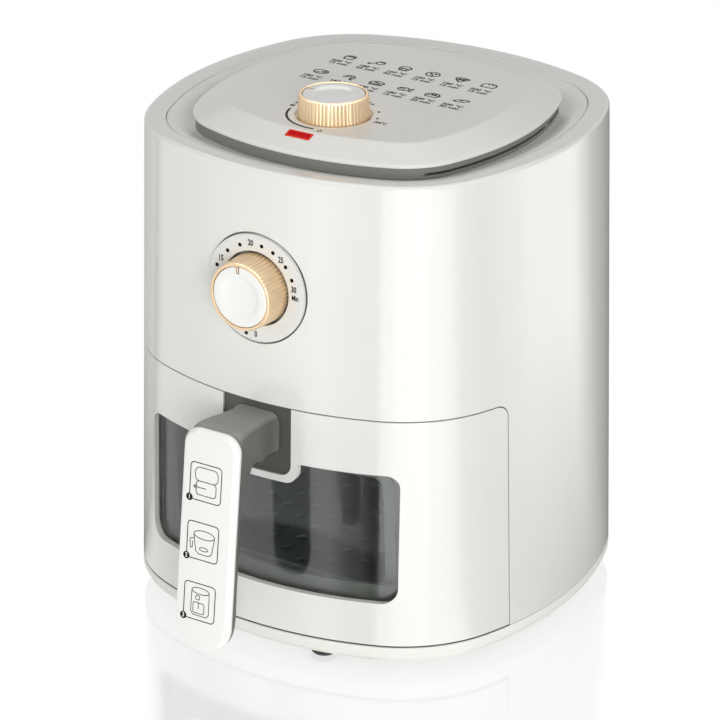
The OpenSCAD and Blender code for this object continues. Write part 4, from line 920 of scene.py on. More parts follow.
    def base(self) -> bpy.types.Object:
        """Builds the base tray with its lip and its tucked-in foot."""
        top, lip, tuck, low = LEVELS.foot - FIT, self.base_lip_h, self.base_tuck, self.base_low
        wall = self.base_wall
        profile = [(tuck + 20, low), (tuck + 1, low)]
        rise = top - lip - 0.8 - low
        for s in np.linspace(0.06, 1, 12):
            profile.append((tuck * (0.08 + 0.92 * (1 - s) ** 1.9), low + rise * s))
        profile += [
            (0.25, top - lip - 0.25), (0.0, top - lip + 0.3), (0.0, top - 0.4), (0.35, top),
            (self.wall + 0.6, top), (self.wall + 0.6, top - 4), (tuck * 0.5 + 2.5, low + 5),
            (tuck + 2, low + wall), (tuck + 20, low + wall),
        ]
        base = loft("base_pan_tray", PLAN.rings(profile), loop=True)
        floor = loft("base_pan_floor", PLAN.rings([(tuck + 19.9, low), (tuck + 19.9, low + wall)]))
        for x in range(-40, 41, 10):
            apply_cut(floor, prism(rounded(rect(x - 2, -30, x + 2, 30, 1.9), 5), "z", 0, 10))
        resharpen(floor)
        dress(floor, BASE_ABS, "housing")
        return dress(base, BASE_ABS, "housing", ["base_pan"])

    def build(self) -> None:
        """Builds every piece of the housing."""
        for make in (self.shell, self.seam_shade, self.cover, self.intake, self.base):
            make()


# ---------------------------------------------------------------- top plate


@dataclass
class TopPlate:
    """The raised plate with its lens."""

    inset: float = 29.0
    edge_w: float = 1.4
    edge_rise: float = 0.4
    slope_w: float = 20.0
    crease_w: float = 0.1
    lens_l: float = 16.8
    lens_w: float = 6.0
    lens_y: float = 86.0
    temp_y: float = 49.0
    knob_hole_r: float = 23.6
    seat_z: float = 316.0

    def height(self, t: float) -> float:
        """Returns the plate's height at an inset t from the body's outline."""
        s = min(1.0, max(0.0, (t - PLAN.draft - self.inset - self.edge_w) / self.slope_w))
        rise = LEVELS.plate_top - LEVELS.plate_edge - self.edge_rise
        steep = 1 / (1 - self.crease_w / 2)
        part = steep * s
        if s >= 1 - self.crease_w:
            part = 1 - steep * (1 - s) ** 2 / (2 * self.crease_w)
        return LEVELS.plate_edge + self.edge_rise + rise * part

    def plate(self) -> bpy.types.Object:
        """Builds the plate with its thin edge and its soft crown."""
        t0 = PLAN.draft + self.inset
        low, edge = LEVELS.plate_low, LEVELS.plate_edge
        profile = [
            (t0 + 4, low), (t0 + 0.7, low), (t0 + 0.15, low + 0.3), (t0, low + 0.8),
            (t0, edge - 0.8), (t0 + 0.25, edge - 0.25), (t0 + 0.8, edge + 0.2),
        ]
        for s in np.linspace(0.02, 1.06, 27):
            t = t0 + self.edge_w + self.slope_w * s
            profile.append((t, self.height(t)))
        plate = loft("top_panel_plate", PLAN.rings(profile), sharp=50)
        hole = arc(0, -self.temp_y, self.knob_hole_r, self.knob_hole_r, n=95)[:-1]
        apply_cut(plate, prism(hole, "z", self.seat_z, 330))
        apply_cut(plate, self.lens_box(FIT, -8, 5))
        resharpen(plate)
        return dress(plate, TOP_ABS, "housing", ["top_panel"])

    def lens_point(self, u: float, v: float, h: float) -> Point3:
        """Returns a body point from the lens's own right, back and up."""
        t = PLAN.depth / 2 - self.lens_y
        fall = self.height(t + 4) - self.height(t - 4)
        slope = math.atan2(fall, 8.0)
        c, s = math.cos(slope), math.sin(slope)
        return (u, -self.lens_y + v * c - h * s, self.height(t) + v * s + h * c)

    def lens_box(self, grow: float, low: float, high: float) -> bpy.types.Object:
        """Makes a block in the lens's own frame."""
        hx, hy = self.lens_l / 2 + grow, self.lens_w / 2 + grow
        outline = rounded(rect(-hx, -hy, hx, hy, 0.8), 4)
        rings = [[self.lens_point(u, v, h) for u, v in outline] for h in (low, high)]
        return loft("indicator_lens_block", rings)

    def lens(self) -> None:
        """Builds the red lens and its brighter edge."""
        frame = self.lens_box(0, -3.9, 0.12)
        inner = self.lens_box(-0.9, -3.0, 0.2)
        frame.name, inner.name = "indicator_lens_edge", "indicator_lens_face"
        dress(frame, ORANGE_ACRYLIC, "housing", ["indicator_lens"])
        dress(inner, RED_ACRYLIC, "housing")

    def build(self) -> None:
        """Builds the plate and the lens."""
        self.plate()
        self.lens()


# ---------------------------------------------------------------- printing


@dataclass(frozen=True)
class Sheet:
    """A flat place to print on: an origin and three directions in body millimetres."""

    origin: Point3
    right: Point3
    up: Point3
    out: Point3

    def at(self, u: float, v: float, h: float = 0.0) -> Point3:
        """Returns the body point at u to the right, v up and h out."""
        return tuple(
            self.origin[i] + u * self.right[i] + v * self.up[i] + h * self.out[i] for i in range(3)
        )


@dataclass
class Printing:
    """Symbols and numbers printed on the plate, the dial and the handle."""

    lift: float = 0.01
    film: float = 0.05
    capital: float = 0.69
    boldness: float = 0.045

    def strokes(
        self,
        name: str,
        sheet: Sheet,
        lines: Sequence[List[Point2]],
        width: float,
        loop: bool = False,
    ) -> bpy.types.Object:
        """Prints lines of one width as thin closed films.

        Args:
            name: the object's name.
            sheet: the place to print on.
            lines: the lines' points.
            width: the lines' width.
            loop: whether each line joins its own start.

        Returns:
            The object.
        """
        points: List[Point3] = []
        faces: List[List[int]] = []
        for line in lines:
            p = np.array(line, float)
            if loop and np.linalg.norm(p[0] - p[-1]) < 1e-6:
                p = p[:-1]
            count = len(p)
            base = len(points)
            for i in range(count):
                before = p[i - 1] if (i > 0 or loop) else None
                after = p[(i + 1) % count] if (i < count - 1 or loop) else None
                d0 = (p[i] - before) if before is not None else (after - p[i])
                d1 = (after - p[i]) if after is not None else d0
                d0, d1 = d0 / (np.linalg.norm(d0) or 1), d1 / (np.linalg.norm(d1) or 1)
                side = np.array([-(d0 + d1)[1], (d0 + d1)[0]])
                side = side / (np.linalg.norm(side) or 1)
                reach = width / 2 / max(0.5, abs(float(side @ np.array([-d0[1], d0[0]]))))
                for s, h in ((1, 0), (1, 1), (-1, 1), (-1, 0)):
                    q = p[i] + side * reach * s
                    points.append(sheet.at(q[0], q[1], self.lift + h * self.film))
            for i in range(count if loop else count - 1):
                a, b = base + 4 * i, base + 4 * ((i + 1) % count)
                faces += [[a + k, a + (k + 1) % 4, b + (k + 1) % 4, b + k] for k in range(4)]
            if not loop:
                last = base + 4 * (count - 1)
                faces.append([base + 3, base + 2, base + 1, base])
                faces.append([last, last + 1, last + 2, last + 3])
        return mesh_object(name, points, faces)

    def patches(
        self, name: str, sheet: Sheet, shapes: Sequence[List[Point2]], lift: float = 0.0
    ) -> bpy.types.Object:
        """Prints filled shapes as thin closed films."""
        points: List[Point3] = []
        faces: List[List[int]] = []
        for shape in shapes:
            n, base = len(shape), len(points)
            points += [sheet.at(u, v, self.lift + lift) for u, v in shape]
            points += [sheet.at(u, v, self.lift + lift + self.film) for u, v in shape]
            faces.append([base + n - 1 - i for i in range(n)])
            faces.append([base + n + i for i in range(n)])
            for i in range(n):
                k = (i + 1) % n
                faces.append([base + i, base + k, base + n + k, base + n + i])
        return mesh_object(name, points, faces)

    def words(
        self,
        name: str,
        sheet: Sheet,
        items: Sequence[Tuple[str, float, float]],
        size: float,
        lift: float = 0.0,
        squeeze: float = 0.8,
    ) -> bpy.types.Object:
        """Prints numbers and units, each centred on its place.

        Args:
            name: the object's name.
            sheet: the place to print on.
            items: (text, u, v) for each word.
            size: height of a capital.
            lift: extra height over the sheet.
            squeeze: width against the font's own.

        Returns:
            The object.
        """
        points: List[Point3] = []
        faces: List[List[int]] = []
        for text, u, v in items:
            curve = bpy.data.curves.new("word", "FONT")
            curve.body = text
            curve.align_x, curve.align_y = "CENTER", "CENTER"
            curve.size = size / self.capital
            curve.resolution_u = 3
            curve.extrude = 0.5
            curve.offset = self.boldness * size
            holder = bpy.data.objects.new("word", curve)
            bpy.context.scene.collection.objects.link(holder)
            bpy.context.view_layer.update()
            graph = bpy.context.evaluated_depsgraph_get()
            mesh = bpy.data.meshes.new_from_object(holder.evaluated_get(graph))
            base = len(points)
            for vertex in mesh.vertices:
                c = vertex.co
                height = self.lift + lift + (c.z + 0.5) * self.film
                points.append(sheet.at(u + c.x * squeeze, v + c.y, height))
            faces += [[base + i for i in f.vertices] for f in mesh.polygons]
            bpy.data.objects.remove(holder)
            bpy.data.meshes.remove(mesh)
            bpy.data.curves.remove(curve)
        return mesh_object(name, points, faces)


def food_symbols() -> List[List[List[Point2]]]:
    """Draws twelve plain food symbols, each about 12 wide and 8 tall, about its own middle.

    Returns:
        For each symbol, its lines.
    """
    fries = [[(-3.4, -3.6), (3.4, -3.6), (4.2, 0.8), (-4.2, 0.8), (-3.4, -3.6)]]
    fries += [[(x, 0.8), (x * 1.15, 3.6 - abs(x) * 0.3)] for x in (-3, -1.5, 0, 1.5, 3)]
    leg = [arc(2.2, 0.6, 3.2, 2.6), [(-0.6, -0.6), (-4.4, -2.6)], arc(-5.0, -3.0, 0.9, 0.9)]
    leg += [arc(2.6, 1.0, 1.4, 0.9, 20, 160, 8)]
    cupcake = [[(-3.2, -3.6), (3.2, -3.6), (4.2, 0), (-4.2, 0), (-3.2, -3.6)]]
    cupcake += [arc(0, 0, 4.8, 3.6, 0, 180, 16), [(-1.4, -3.6), (-1.8, 0)], [(1.4, -3.6), (1.8, 0)]]
    cookie = [arc(0, 0, 5.2, 3.8)]
    cookie += [arc(x, y, 0.7, 0.6, n=8) for x, y in ((-1.8, 0.8), (1.6, 1.2), (0.4, -1.6))]
    slice_ = [[(-5.4, 1.6), (5.2, 2.6), (0.4, -3.8), (-5.4, 1.6)]]
    slice_ += [arc(-0.2, 2.6, 5.2, 1.4, 0, 180, 12)]
    slice_ += [arc(x, y, 0.8, 0.7, n=8) for x, y in ((-1.2, 0.4), (1.6, 0.6))]
    bread = [arc(0, 0.6, 5.6, 3.0, 0, 180, 16) + [(-5.0, -3.0), (5.0, -3.0), (5.6, 0.6)]]
    bread += [[(-2, 3.0), (-1, 1.2)], [(1, 3.2), (2, 1.4)]]
    steak = [arc(-0.4, 0, 5.6, 3.4), arc(1.8, 0.4, 1.6, 1.1)]
    steak += [arc(-2.2, -0.4, 1.8, 1.0, 200, 340, 8)]
    shrimp = [arc(0, 0, 4.2, 3.6, -60, 200, 18), arc(0, 0, 2.2, 1.8, -60, 200, 12)]
    shrimp += [[(2.1, -3.1), (4.6, -3.8), (1.1, -1.6)]]
    pie = [arc(0, 0.6, 5.6, 2.6), [(-5.6, 0.6), (-4.4, -3.2), (4.4, -3.2), (5.6, 0.6)]]
    pie += [[(-3, 0.6), (3, 0.6)], [(-2, 1.8), (2, -0.6)]]
    fish = [arc(-0.8, 0, 4.4, 2.6), [(3.4, 0.8), (5.8, 2.6), (5.8, -2.6), (3.4, -0.8)]]
    fish += [arc(-3.2, 0.6, 0.5, 0.4, n=8), arc(-1.4, 0, 1.0, 1.8, -70, 70, 8)]
    roast = [arc(0, -0.4, 5.4, 3.2, 0, 180, 16)]
    roast += [[(-5.8, -0.4), (5.8, -0.4), (4.2, -3.2), (-4.2, -3.2), (-5.8, -0.4)]]
    roast += [arc(0.4, 1.0, 1.6, 0.9)]
    half = [(-5.8, -1.4), (-2.4, 1.4), (2.8, 2.6)]
    yam = [half + [(5.8, 1.4), (2.4, -1.6), (-2.8, -2.6), (-5.8, -1.4)], [(-1.6, 0.2), (1.2, 0.6)]]
    return [fries, leg, cupcake, cookie, slice_, bread, steak, shrimp, pie, fish, roast, yam]


@dataclass
class PlatePrint:
    """The symbols, the little tables of numbers and the temperature scale on the plate."""

    rows: Tuple[float, float] = (44.0, 11.5)
    columns: Tuple[float, ...] = (-48.7, -28.7, -8.7, 11.3, 31.3, 51.3)
    heats: Tuple[int, ...] = (200, 180, 160, 150, 180, 200, 180, 160, 200, 180, 200, 200)
    times: Tuple[int, ...] = (15, 25, 20, 12, 12, 15, 12, 8, 18, 15, 25, 30)
    symbol_squeeze: float = 0.86
    symbol_line: float = 1.0
    text_h: float = 2.9
    text_squeeze: float = 1.2
    heat_drop: float = 9.2
    time_drop: float = 13.3
    temp_y: float = 49.0
    scale_r: float = 29.0

    def build(self) -> None:
        """Prints everything on the plate."""
        ink = Printing()
        plate = Sheet((0, 0, LEVELS.plate_top), (1, 0, 0), (0, 1, 0), (0, 0, 1))
        lines: List[List[Point2]] = []
        places = [(x, y) for y in self.rows for x in self.columns]
        for (x, y), symbol in zip(places, food_symbols()):
            k = self.symbol_squeeze
            lines += [[(x + u * k, y + 0.4 + v) for u, v in line] for line in symbol]
        symbols = ink.strokes("plate_symbols", plate, lines, self.symbol_line)
        dress(symbols, INK, "housing")
        heats, times = zip(places, self.heats), zip(places, self.times)
        items = [(f"{h} °C", x - 0.4, y - self.heat_drop) for (x, y), h in heats]
        items += [(f"{m} min", x - 0.4, y - self.time_drop) for (x, y), m in times]
        words = ink.words("plate_settings", plate, items, self.text_h, squeeze=self.text_squeeze)
        dress(words, INK, "housing")
        middle = (0, -self.temp_y, LEVELS.plate_top)
        self.temperatures(ink, Sheet(middle, (1, 0, 0), (0, 1, 0), (0, 0, 1)))

    def temperatures(self, ink: Printing, sheet: Sheet) -> None:
        """Prints the temperature scale round its knob."""
        r = self.scale_r

        def at(a: float, radius: float = r) -> Point2:
            """Returns the point at an angle in degrees on the scale."""
            return polar(radius, math.radians(a))

        sweep = [at(190 + 88 * i / 40, r - 1.0) for i in range(41)]
        spots = ((170, r + 1.4), (157, r), (77, r + 0.8), (70, r), (41, r - 2.0), (16, r - 2.0))
        dots = spots_at([at(*spot) for spot in spots], 1.0, 16)
        items = [("80", *at(180, r + 0.4)), ("200°C", *at(3, r + 2.6))]
        x, y = at(287, r + 1.2)
        power = [[(x + u, y + v) for u, v in arc(0, 0, 1.3, 1.3, 120, 420, 14)]]
        power += [[(x, y + 0.4), (x, y + 2.0)]]
        for made in (
            ink.strokes("temp_scale_arc", sheet, [sweep], 1.5),
            ink.patches("temp_scale_dots", sheet, dots),
            ink.words("temp_scale_numbers", sheet, items, self.text_h),
            ink.strokes("temp_scale_off", sheet, power, 0.55),
        ):
            dress(made, INK, "housing")


# ---------------------------------------------------------------- knobs


class KnobPlace(Enum):
    """The two controls."""

    TIMER = "timer"
    TEMPERATURE = "temp"


@dataclass
class Knob:
    """A fluted ring with a dished cap and a pointer."""

    place: KnobPlace
    length: float
    base_r: float = 21.9
    face_r: float = 20.9
    cap_r: float = 18.6
    flutes: int = 54
    flute_depth: float = 0.42
    dish: float = 1.2
    dish_r: float = 14.3
    bowl: float = 0.6
    bowl_r: float = 10.3
    pointer_l: float = 4.0
    pointer_w: float = 1.2
    timer_turn: float = -3.4
    temp_y: float = 49.0
    sink: float = 1.6

    def put(self, p: Point3) -> Point3:
        """Turns a point of the knob, whose axis is up, to the body."""
        x, y, z = p
        if self.place is KnobPlace.TEMPERATURE:
            return (-y, x - self.temp_y, LEVELS.plate_top - self.sink + z)
        c, s = polar(1, math.radians(self.timer_turn))
        dial_y = PLAN.front_y(LEVELS.dial) - LEVELS.dial_proud
        return (x * c + y * s, dial_y + self.sink - z, LEVELS.dial + y * c - x * s)

    def stretch(
        self, name: str, outline: Sequence[Point2], low: float, high: float
    ) -> bpy.types.Object:
        """Makes a piece of the knob from a flat outline between two heights."""
        return loft(name, [[self.put((x, y, z)) for x, y in outline] for z in (low, high)])

    def finished(
        self, piece: bpy.types.Object, finish: Finish, replaces: Sequence[str] = ()
    ) -> bpy.types.Object:
        """Dresses a piece that rides on this knob."""
        return dress(piece, finish, f"{self.place.value}_knob", replaces)

    def ring(self, level: float, radius: float, depth: float) -> Ring:
        """Returns one ring of points with rounded flutes."""
        steps = 10
        out: Ring = []
        for i in range(self.flutes * steps):
            a = 2 * math.pi * i / (self.flutes * steps)
            wave = 0.5 - 0.5 * math.cos(2 * math.pi * i / steps)
            # each flute is cut to a slightly different depth from its neighbours
            deep = depth * (0.65 + 0.14 * (i // steps * 7 % 6))
            r = radius - deep * (1 - wave**0.55)
            out.append(self.put((*polar(r, a), level)))
        return out

    def grip(self) -> bpy.types.Object:
        """Builds the fluted ring."""
        n, d = self.length, self.flute_depth
        taper = (self.base_r - self.face_r) / n
        face, bore = self.face_r, self.cap_r
        rows = (
            (0.0, self.base_r, d), (n * 0.5, self.base_r - taper * n * 0.62, d),
            (n - 1.5, face + 0.15, d), (n - 0.75, face - 0.05, d * 0.5),
            (n - 0.25, face - 0.4, 0.0), (n, face - 0.9, 0.0), (n, bore + 0.75, 0.0),
            (n - 0.3, bore + 0.35, 0.0), (n - 6, bore + FIT, 0.0), (0, bore + FIT, 0.0),
        )
        name = self.place.value
        rings = [self.ring(z, r, k) for z, r, k in rows]
        grip = loft(f"{name}_knob_grip", rings, loop=True, sharp=40)
        return self.finished(grip, GOLD_ABS, [f"{name}_knob_ring"])

    def cap(self) -> bpy.types.Object:
        """Builds the dished cap with the pointer's slot."""
        n = self.length
        lip = n - 0.2
        profile = [(self.cap_r, 1.0), (self.cap_r, lip - 0.7)]
        profile += [(self.cap_r - 0.2, lip - 0.25), (self.cap_r - 0.7, lip)]
        for i in range(25):
            r = (self.cap_r - 1.4) * (1 - i / 24)
            s = min(1.0, max(0.0, (self.dish_r - r) / (self.dish_r - self.bowl_r)))
            hollow = self.bowl * max(0.0, 1 - (r / self.bowl_r) ** 2)
            profile.append((max(r, 0.02), lip - self.dish * s * s * (3 - 2 * s) - hollow))
        name = self.place.value
        rings = [[self.put((u, v, z)) for u, v in circle(r, 96)] for r, z in profile]
        cap = loft(f"{name}_knob_face", rings, sharp=50)
        # the cap's brighter white is painted light
        return self.finished(cap, LIT_WHITE_ABS, [f"{name}_knob_cap"])

    def pointer(self) -> bpy.types.Object:
        """Builds the gold pointer, with a dark rim round it: painted shade of a groove."""
        hw, n, name = self.pointer_w / 2, self.length, self.place.value
        y0, y1 = self.cap_r - self.pointer_l + 0.1, self.cap_r + 0.5
        outline = rounded(rect(-hw, y0, hw, y1, 0.35), 4)
        bar = self.stretch(f"{name}_pointer_bar", outline, n - 1.2, n)
        # the dark rim round the bar is painted shade of a groove
        outline = rounded(rect(-hw - 0.45, y0 - 0.35, hw + 0.45, y1 - 0.2, 0.5), 4)
        slot = self.stretch(f"{name}_pointer_groove_shade", outline, n - 1.2, n - 0.14)
        self.finished(slot, DARK_ABS)
        return self.finished(bar, GOLD_ABS, [f"{name}_pointer"])

    def build(self) -> None:
        """Builds the knob's pieces."""
        self.grip()
        self.cap()
        self.pointer()


@dataclass
class Dial:
    """The timer's dial plate and its printed scale."""

    r: float = 33.4
    hole_r: float = 23.2
    thickness: float = 3.5
    seat_r: float = 34.3
    seam: float = 0.1
    spot_r: float = 1.25
    number_h: float = 3.5
    unit_h: float = 3.1
    squeeze: float = 0.72

    @property
    def front(self) -> float:
        """Where the dial's face lies."""
        return PLAN.front_y(LEVELS.dial) - LEVELS.dial_proud

    def turned(self, name: str, profile: Sequence[Point2]) -> bpy.types.Object:
        """Turns a closed profile of (radius, depth behind the face) about the dial's axis."""
        rings = [
            [(u, self.front + d, LEVELS.dial + v) for u, v in circle(r, 144)] for r, d in profile
        ]
        return loft(name, rings, loop=True)

    def build(self) -> None:
        """Builds the dial and prints its scale."""
        r, hole, seat, seam = self.r, self.hole_r, self.seat_r, self.r + self.seam
        profile = [
            (r, 3.2), (r, 0.35), (r - 0.1, 0.1), (r - 0.4, 0.0), (hole + 0.4, 0.0),
            (hole + 0.1, 0.1), (hole, 0.4), (hole, self.thickness),
        ]
        plate = self.turned("dial_plate_ring", profile)
        dress(plate, DIAL_ABS, "housing", ["dial_plate"])
        # a dark ring at the bottom of the gap round the disc: painted shade
        profile = [(seat, 3.0), (seat, 3.4), (seam, 3.4), (seam, 3.0)]
        dress(self.turned("dial_gap_painted_shade", profile), PAINTED_SHADE_ABS, "housing")
        sheet = Sheet((0, self.front, LEVELS.dial), (1, 0, 0), (0, 0, 1), (0, -1, 0))
        ink = Printing()

        def at(a: float, radius: float) -> Point2:
            """Returns the point at an angle clockwise from the top."""
            return (radius * math.sin(math.radians(a)), radius * math.cos(math.radians(a)))

        spots = (
            (-71, 28.4), (-44, 27.6), (-22.5, 27.4), (10, 27.8),
            (27, 28), (50, 28), (67.5, 27.8), (193, 30.2),
        )
        dots = spots_at([at(*spot) for spot in spots], self.spot_r, 20)
        numbers = [("15", *at(-59.5, 27.9)), ("20", *at(-6, 28.1)), ("25", *at(40, 28.2))]
        numbers += [("30", *at(79.5, 27.4)), ("0", *at(180, 29.0))]
        unit = [("Min", *at(90.5, 27.9))]
        for made in (
            ink.patches("dial_dots", sheet, dots),
            ink.words("dial_numbers", sheet, numbers, self.number_h, squeeze=self.squeeze),
            ink.words("dial_unit", sheet, unit, self.unit_h, squeeze=self.squeeze),
        ):
            dress(made, INK, "housing")


# ---------------------------------------------------------------- drawer


@dataclass
class Drawer:
    """The drawer's front with its window and the plate behind the handle."""

    wall: float = 3.0
    backing_t: float = 18.0
    win_half_w: float = 89.0
    win_low: float = 46.5
    win_high: float = 130.0
    win_r: float = 8.0
    plinth_half_w: float = 24.0
    plinth_h: float = 43.0
    plinth_t: float = 1.2
    plinth_r: float = 7.0
    notch_depth: float = 8.3
    edge_r: float = 0.5
    band: float = 4.5
    pane_gap: float = 1.4
    pane_t: float = 2.5

    def window(self, grow: float, notch_grow: float) -> List[Point2]:
        """Returns the window's outline in (x, z).

        Args:
            grow: growth of the outer edge.
            notch_grow: how far the notch gives way.

        Returns:
            The outline.
        """
        nx = self.plinth_half_w + self.band
        nz = LEVELS.drawer_high - self.plinth_h - self.band
        w, k, r = self.win_half_w + grow, notch_grow, self.win_r
        low, high = self.win_low - grow, self.win_high + grow
        foot_r = r + 2 + grow
        return rounded(
            [
                (-w, low, foot_r), (w, low, foot_r), (w, high, r + grow), (nx - k, high, 0),
                (nx - k, nz - k, r + k), (k - nx, nz - k, r + k), (k - nx, high, 0),
                (-w, high, r + grow),
            ],
            12,
        )

    def plinth_shape(self, grow: float, top: float) -> List[Point2]:
        """Returns the outline of the plate behind the handle, up to a height."""
        low, w = LEVELS.drawer_high - self.plinth_h - grow, self.plinth_half_w + grow
        r = self.plinth_r + grow
        return rounded([(-w, top, 0), (-w, low, r), (w, low, r), (w, top, 0)], 10)

    def slab(self, name: str, t0: float, t1: float, low: float, high: float) -> bpy.types.Object:
        """Builds a leaning ring-shaped wall between two insets."""
        turns = ((t0, low), (t0, high), (t1, high), (t1, low))
        return loft(name, PLAN.rings([PLAN.leaned(t, z) for t, z in turns]), loop=True)

    def front(self) -> bpy.types.Object:
        """Builds the front shell with the openings for the window and the plate."""
        low, high, w, t = LEVELS.drawer_low, LEVELS.drawer_high, self.wall, self.backing_t - FIT
        edge = self.edge_r
        profile = [
            PLAN.leaned(edge, low), PLAN.leaned(0.12, low + 0.15), PLAN.leaned(0, low + edge),
            PLAN.leaned(0, high - edge), PLAN.leaned(0.12, high - 0.15), PLAN.leaned(edge, high),
            (t, high), (t, high - w), PLAN.leaned(w, high - w), PLAN.leaned(w, low + w),
            (t, low + w), (t, low),
        ]
        front = loft("drawer_front_shell", PLAN.rings(profile), loop=True)
        apply_cut(front, prism(drawer_side(0), "x", -FAR, FAR), "INTERSECT")
        apply_cut(front, prism(self.window(0, 0), "y", -FAR, LEVELS.drawer_back_y))
        back = PLAN.front_y(LEVELS.drawer_high) + self.notch_depth
        apply_cut(front, prism(self.plinth_shape(FIT, 180), "y", -FAR, back))
        resharpen(front)
        PLAN.smooth_sides(front)
        return dress(front, WHITE_ABS, "drawer", ["drawer_front"])

    def glass(self) -> bpy.types.Object:
        """Builds the bent pane behind the window."""
        inset = self.wall + self.pane_gap
        pane = self.slab("window_pane", inset, inset + self.pane_t, 30, 150)
        outline = self.window(3.4, 1.8)
        apply_cut(pane, prism(outline, "y", -FAR, LEVELS.drawer_back_y), "INTERSECT")
        resharpen(pane)
        PLAN.smooth_sides(pane, inset)
        return dress(pane, WINDOW_GLASS, "drawer", ["window_glass"])

    def plinth(self) -> bpy.types.Object:
        """Builds the dark plate behind the handle."""
        top = LEVELS.drawer_high
        plate = self.slab("handle_plinth_plate", self.plinth_t, self.wall + 3, 110, top)
        outline = self.plinth_shape(0, top)
        apply_cut(plate, prism(outline, "y", -FAR, LEVELS.drawer_back_y), "INTERSECT")
        resharpen(plate)
        PLAN.smooth_sides(plate, self.plinth_t)
        # the plate behind the handle is dark grey plastic, drawn darker still as painted shade
        # under the arm
        return dress(plate, PAINTED_SHADE_ABS, "drawer", ["handle_plinth"])

    def build(self) -> None:
        """Builds the drawer's pieces."""
        self.front()
        self.glass()
        self.plinth()


# ---------------------------------------------------------------- handle


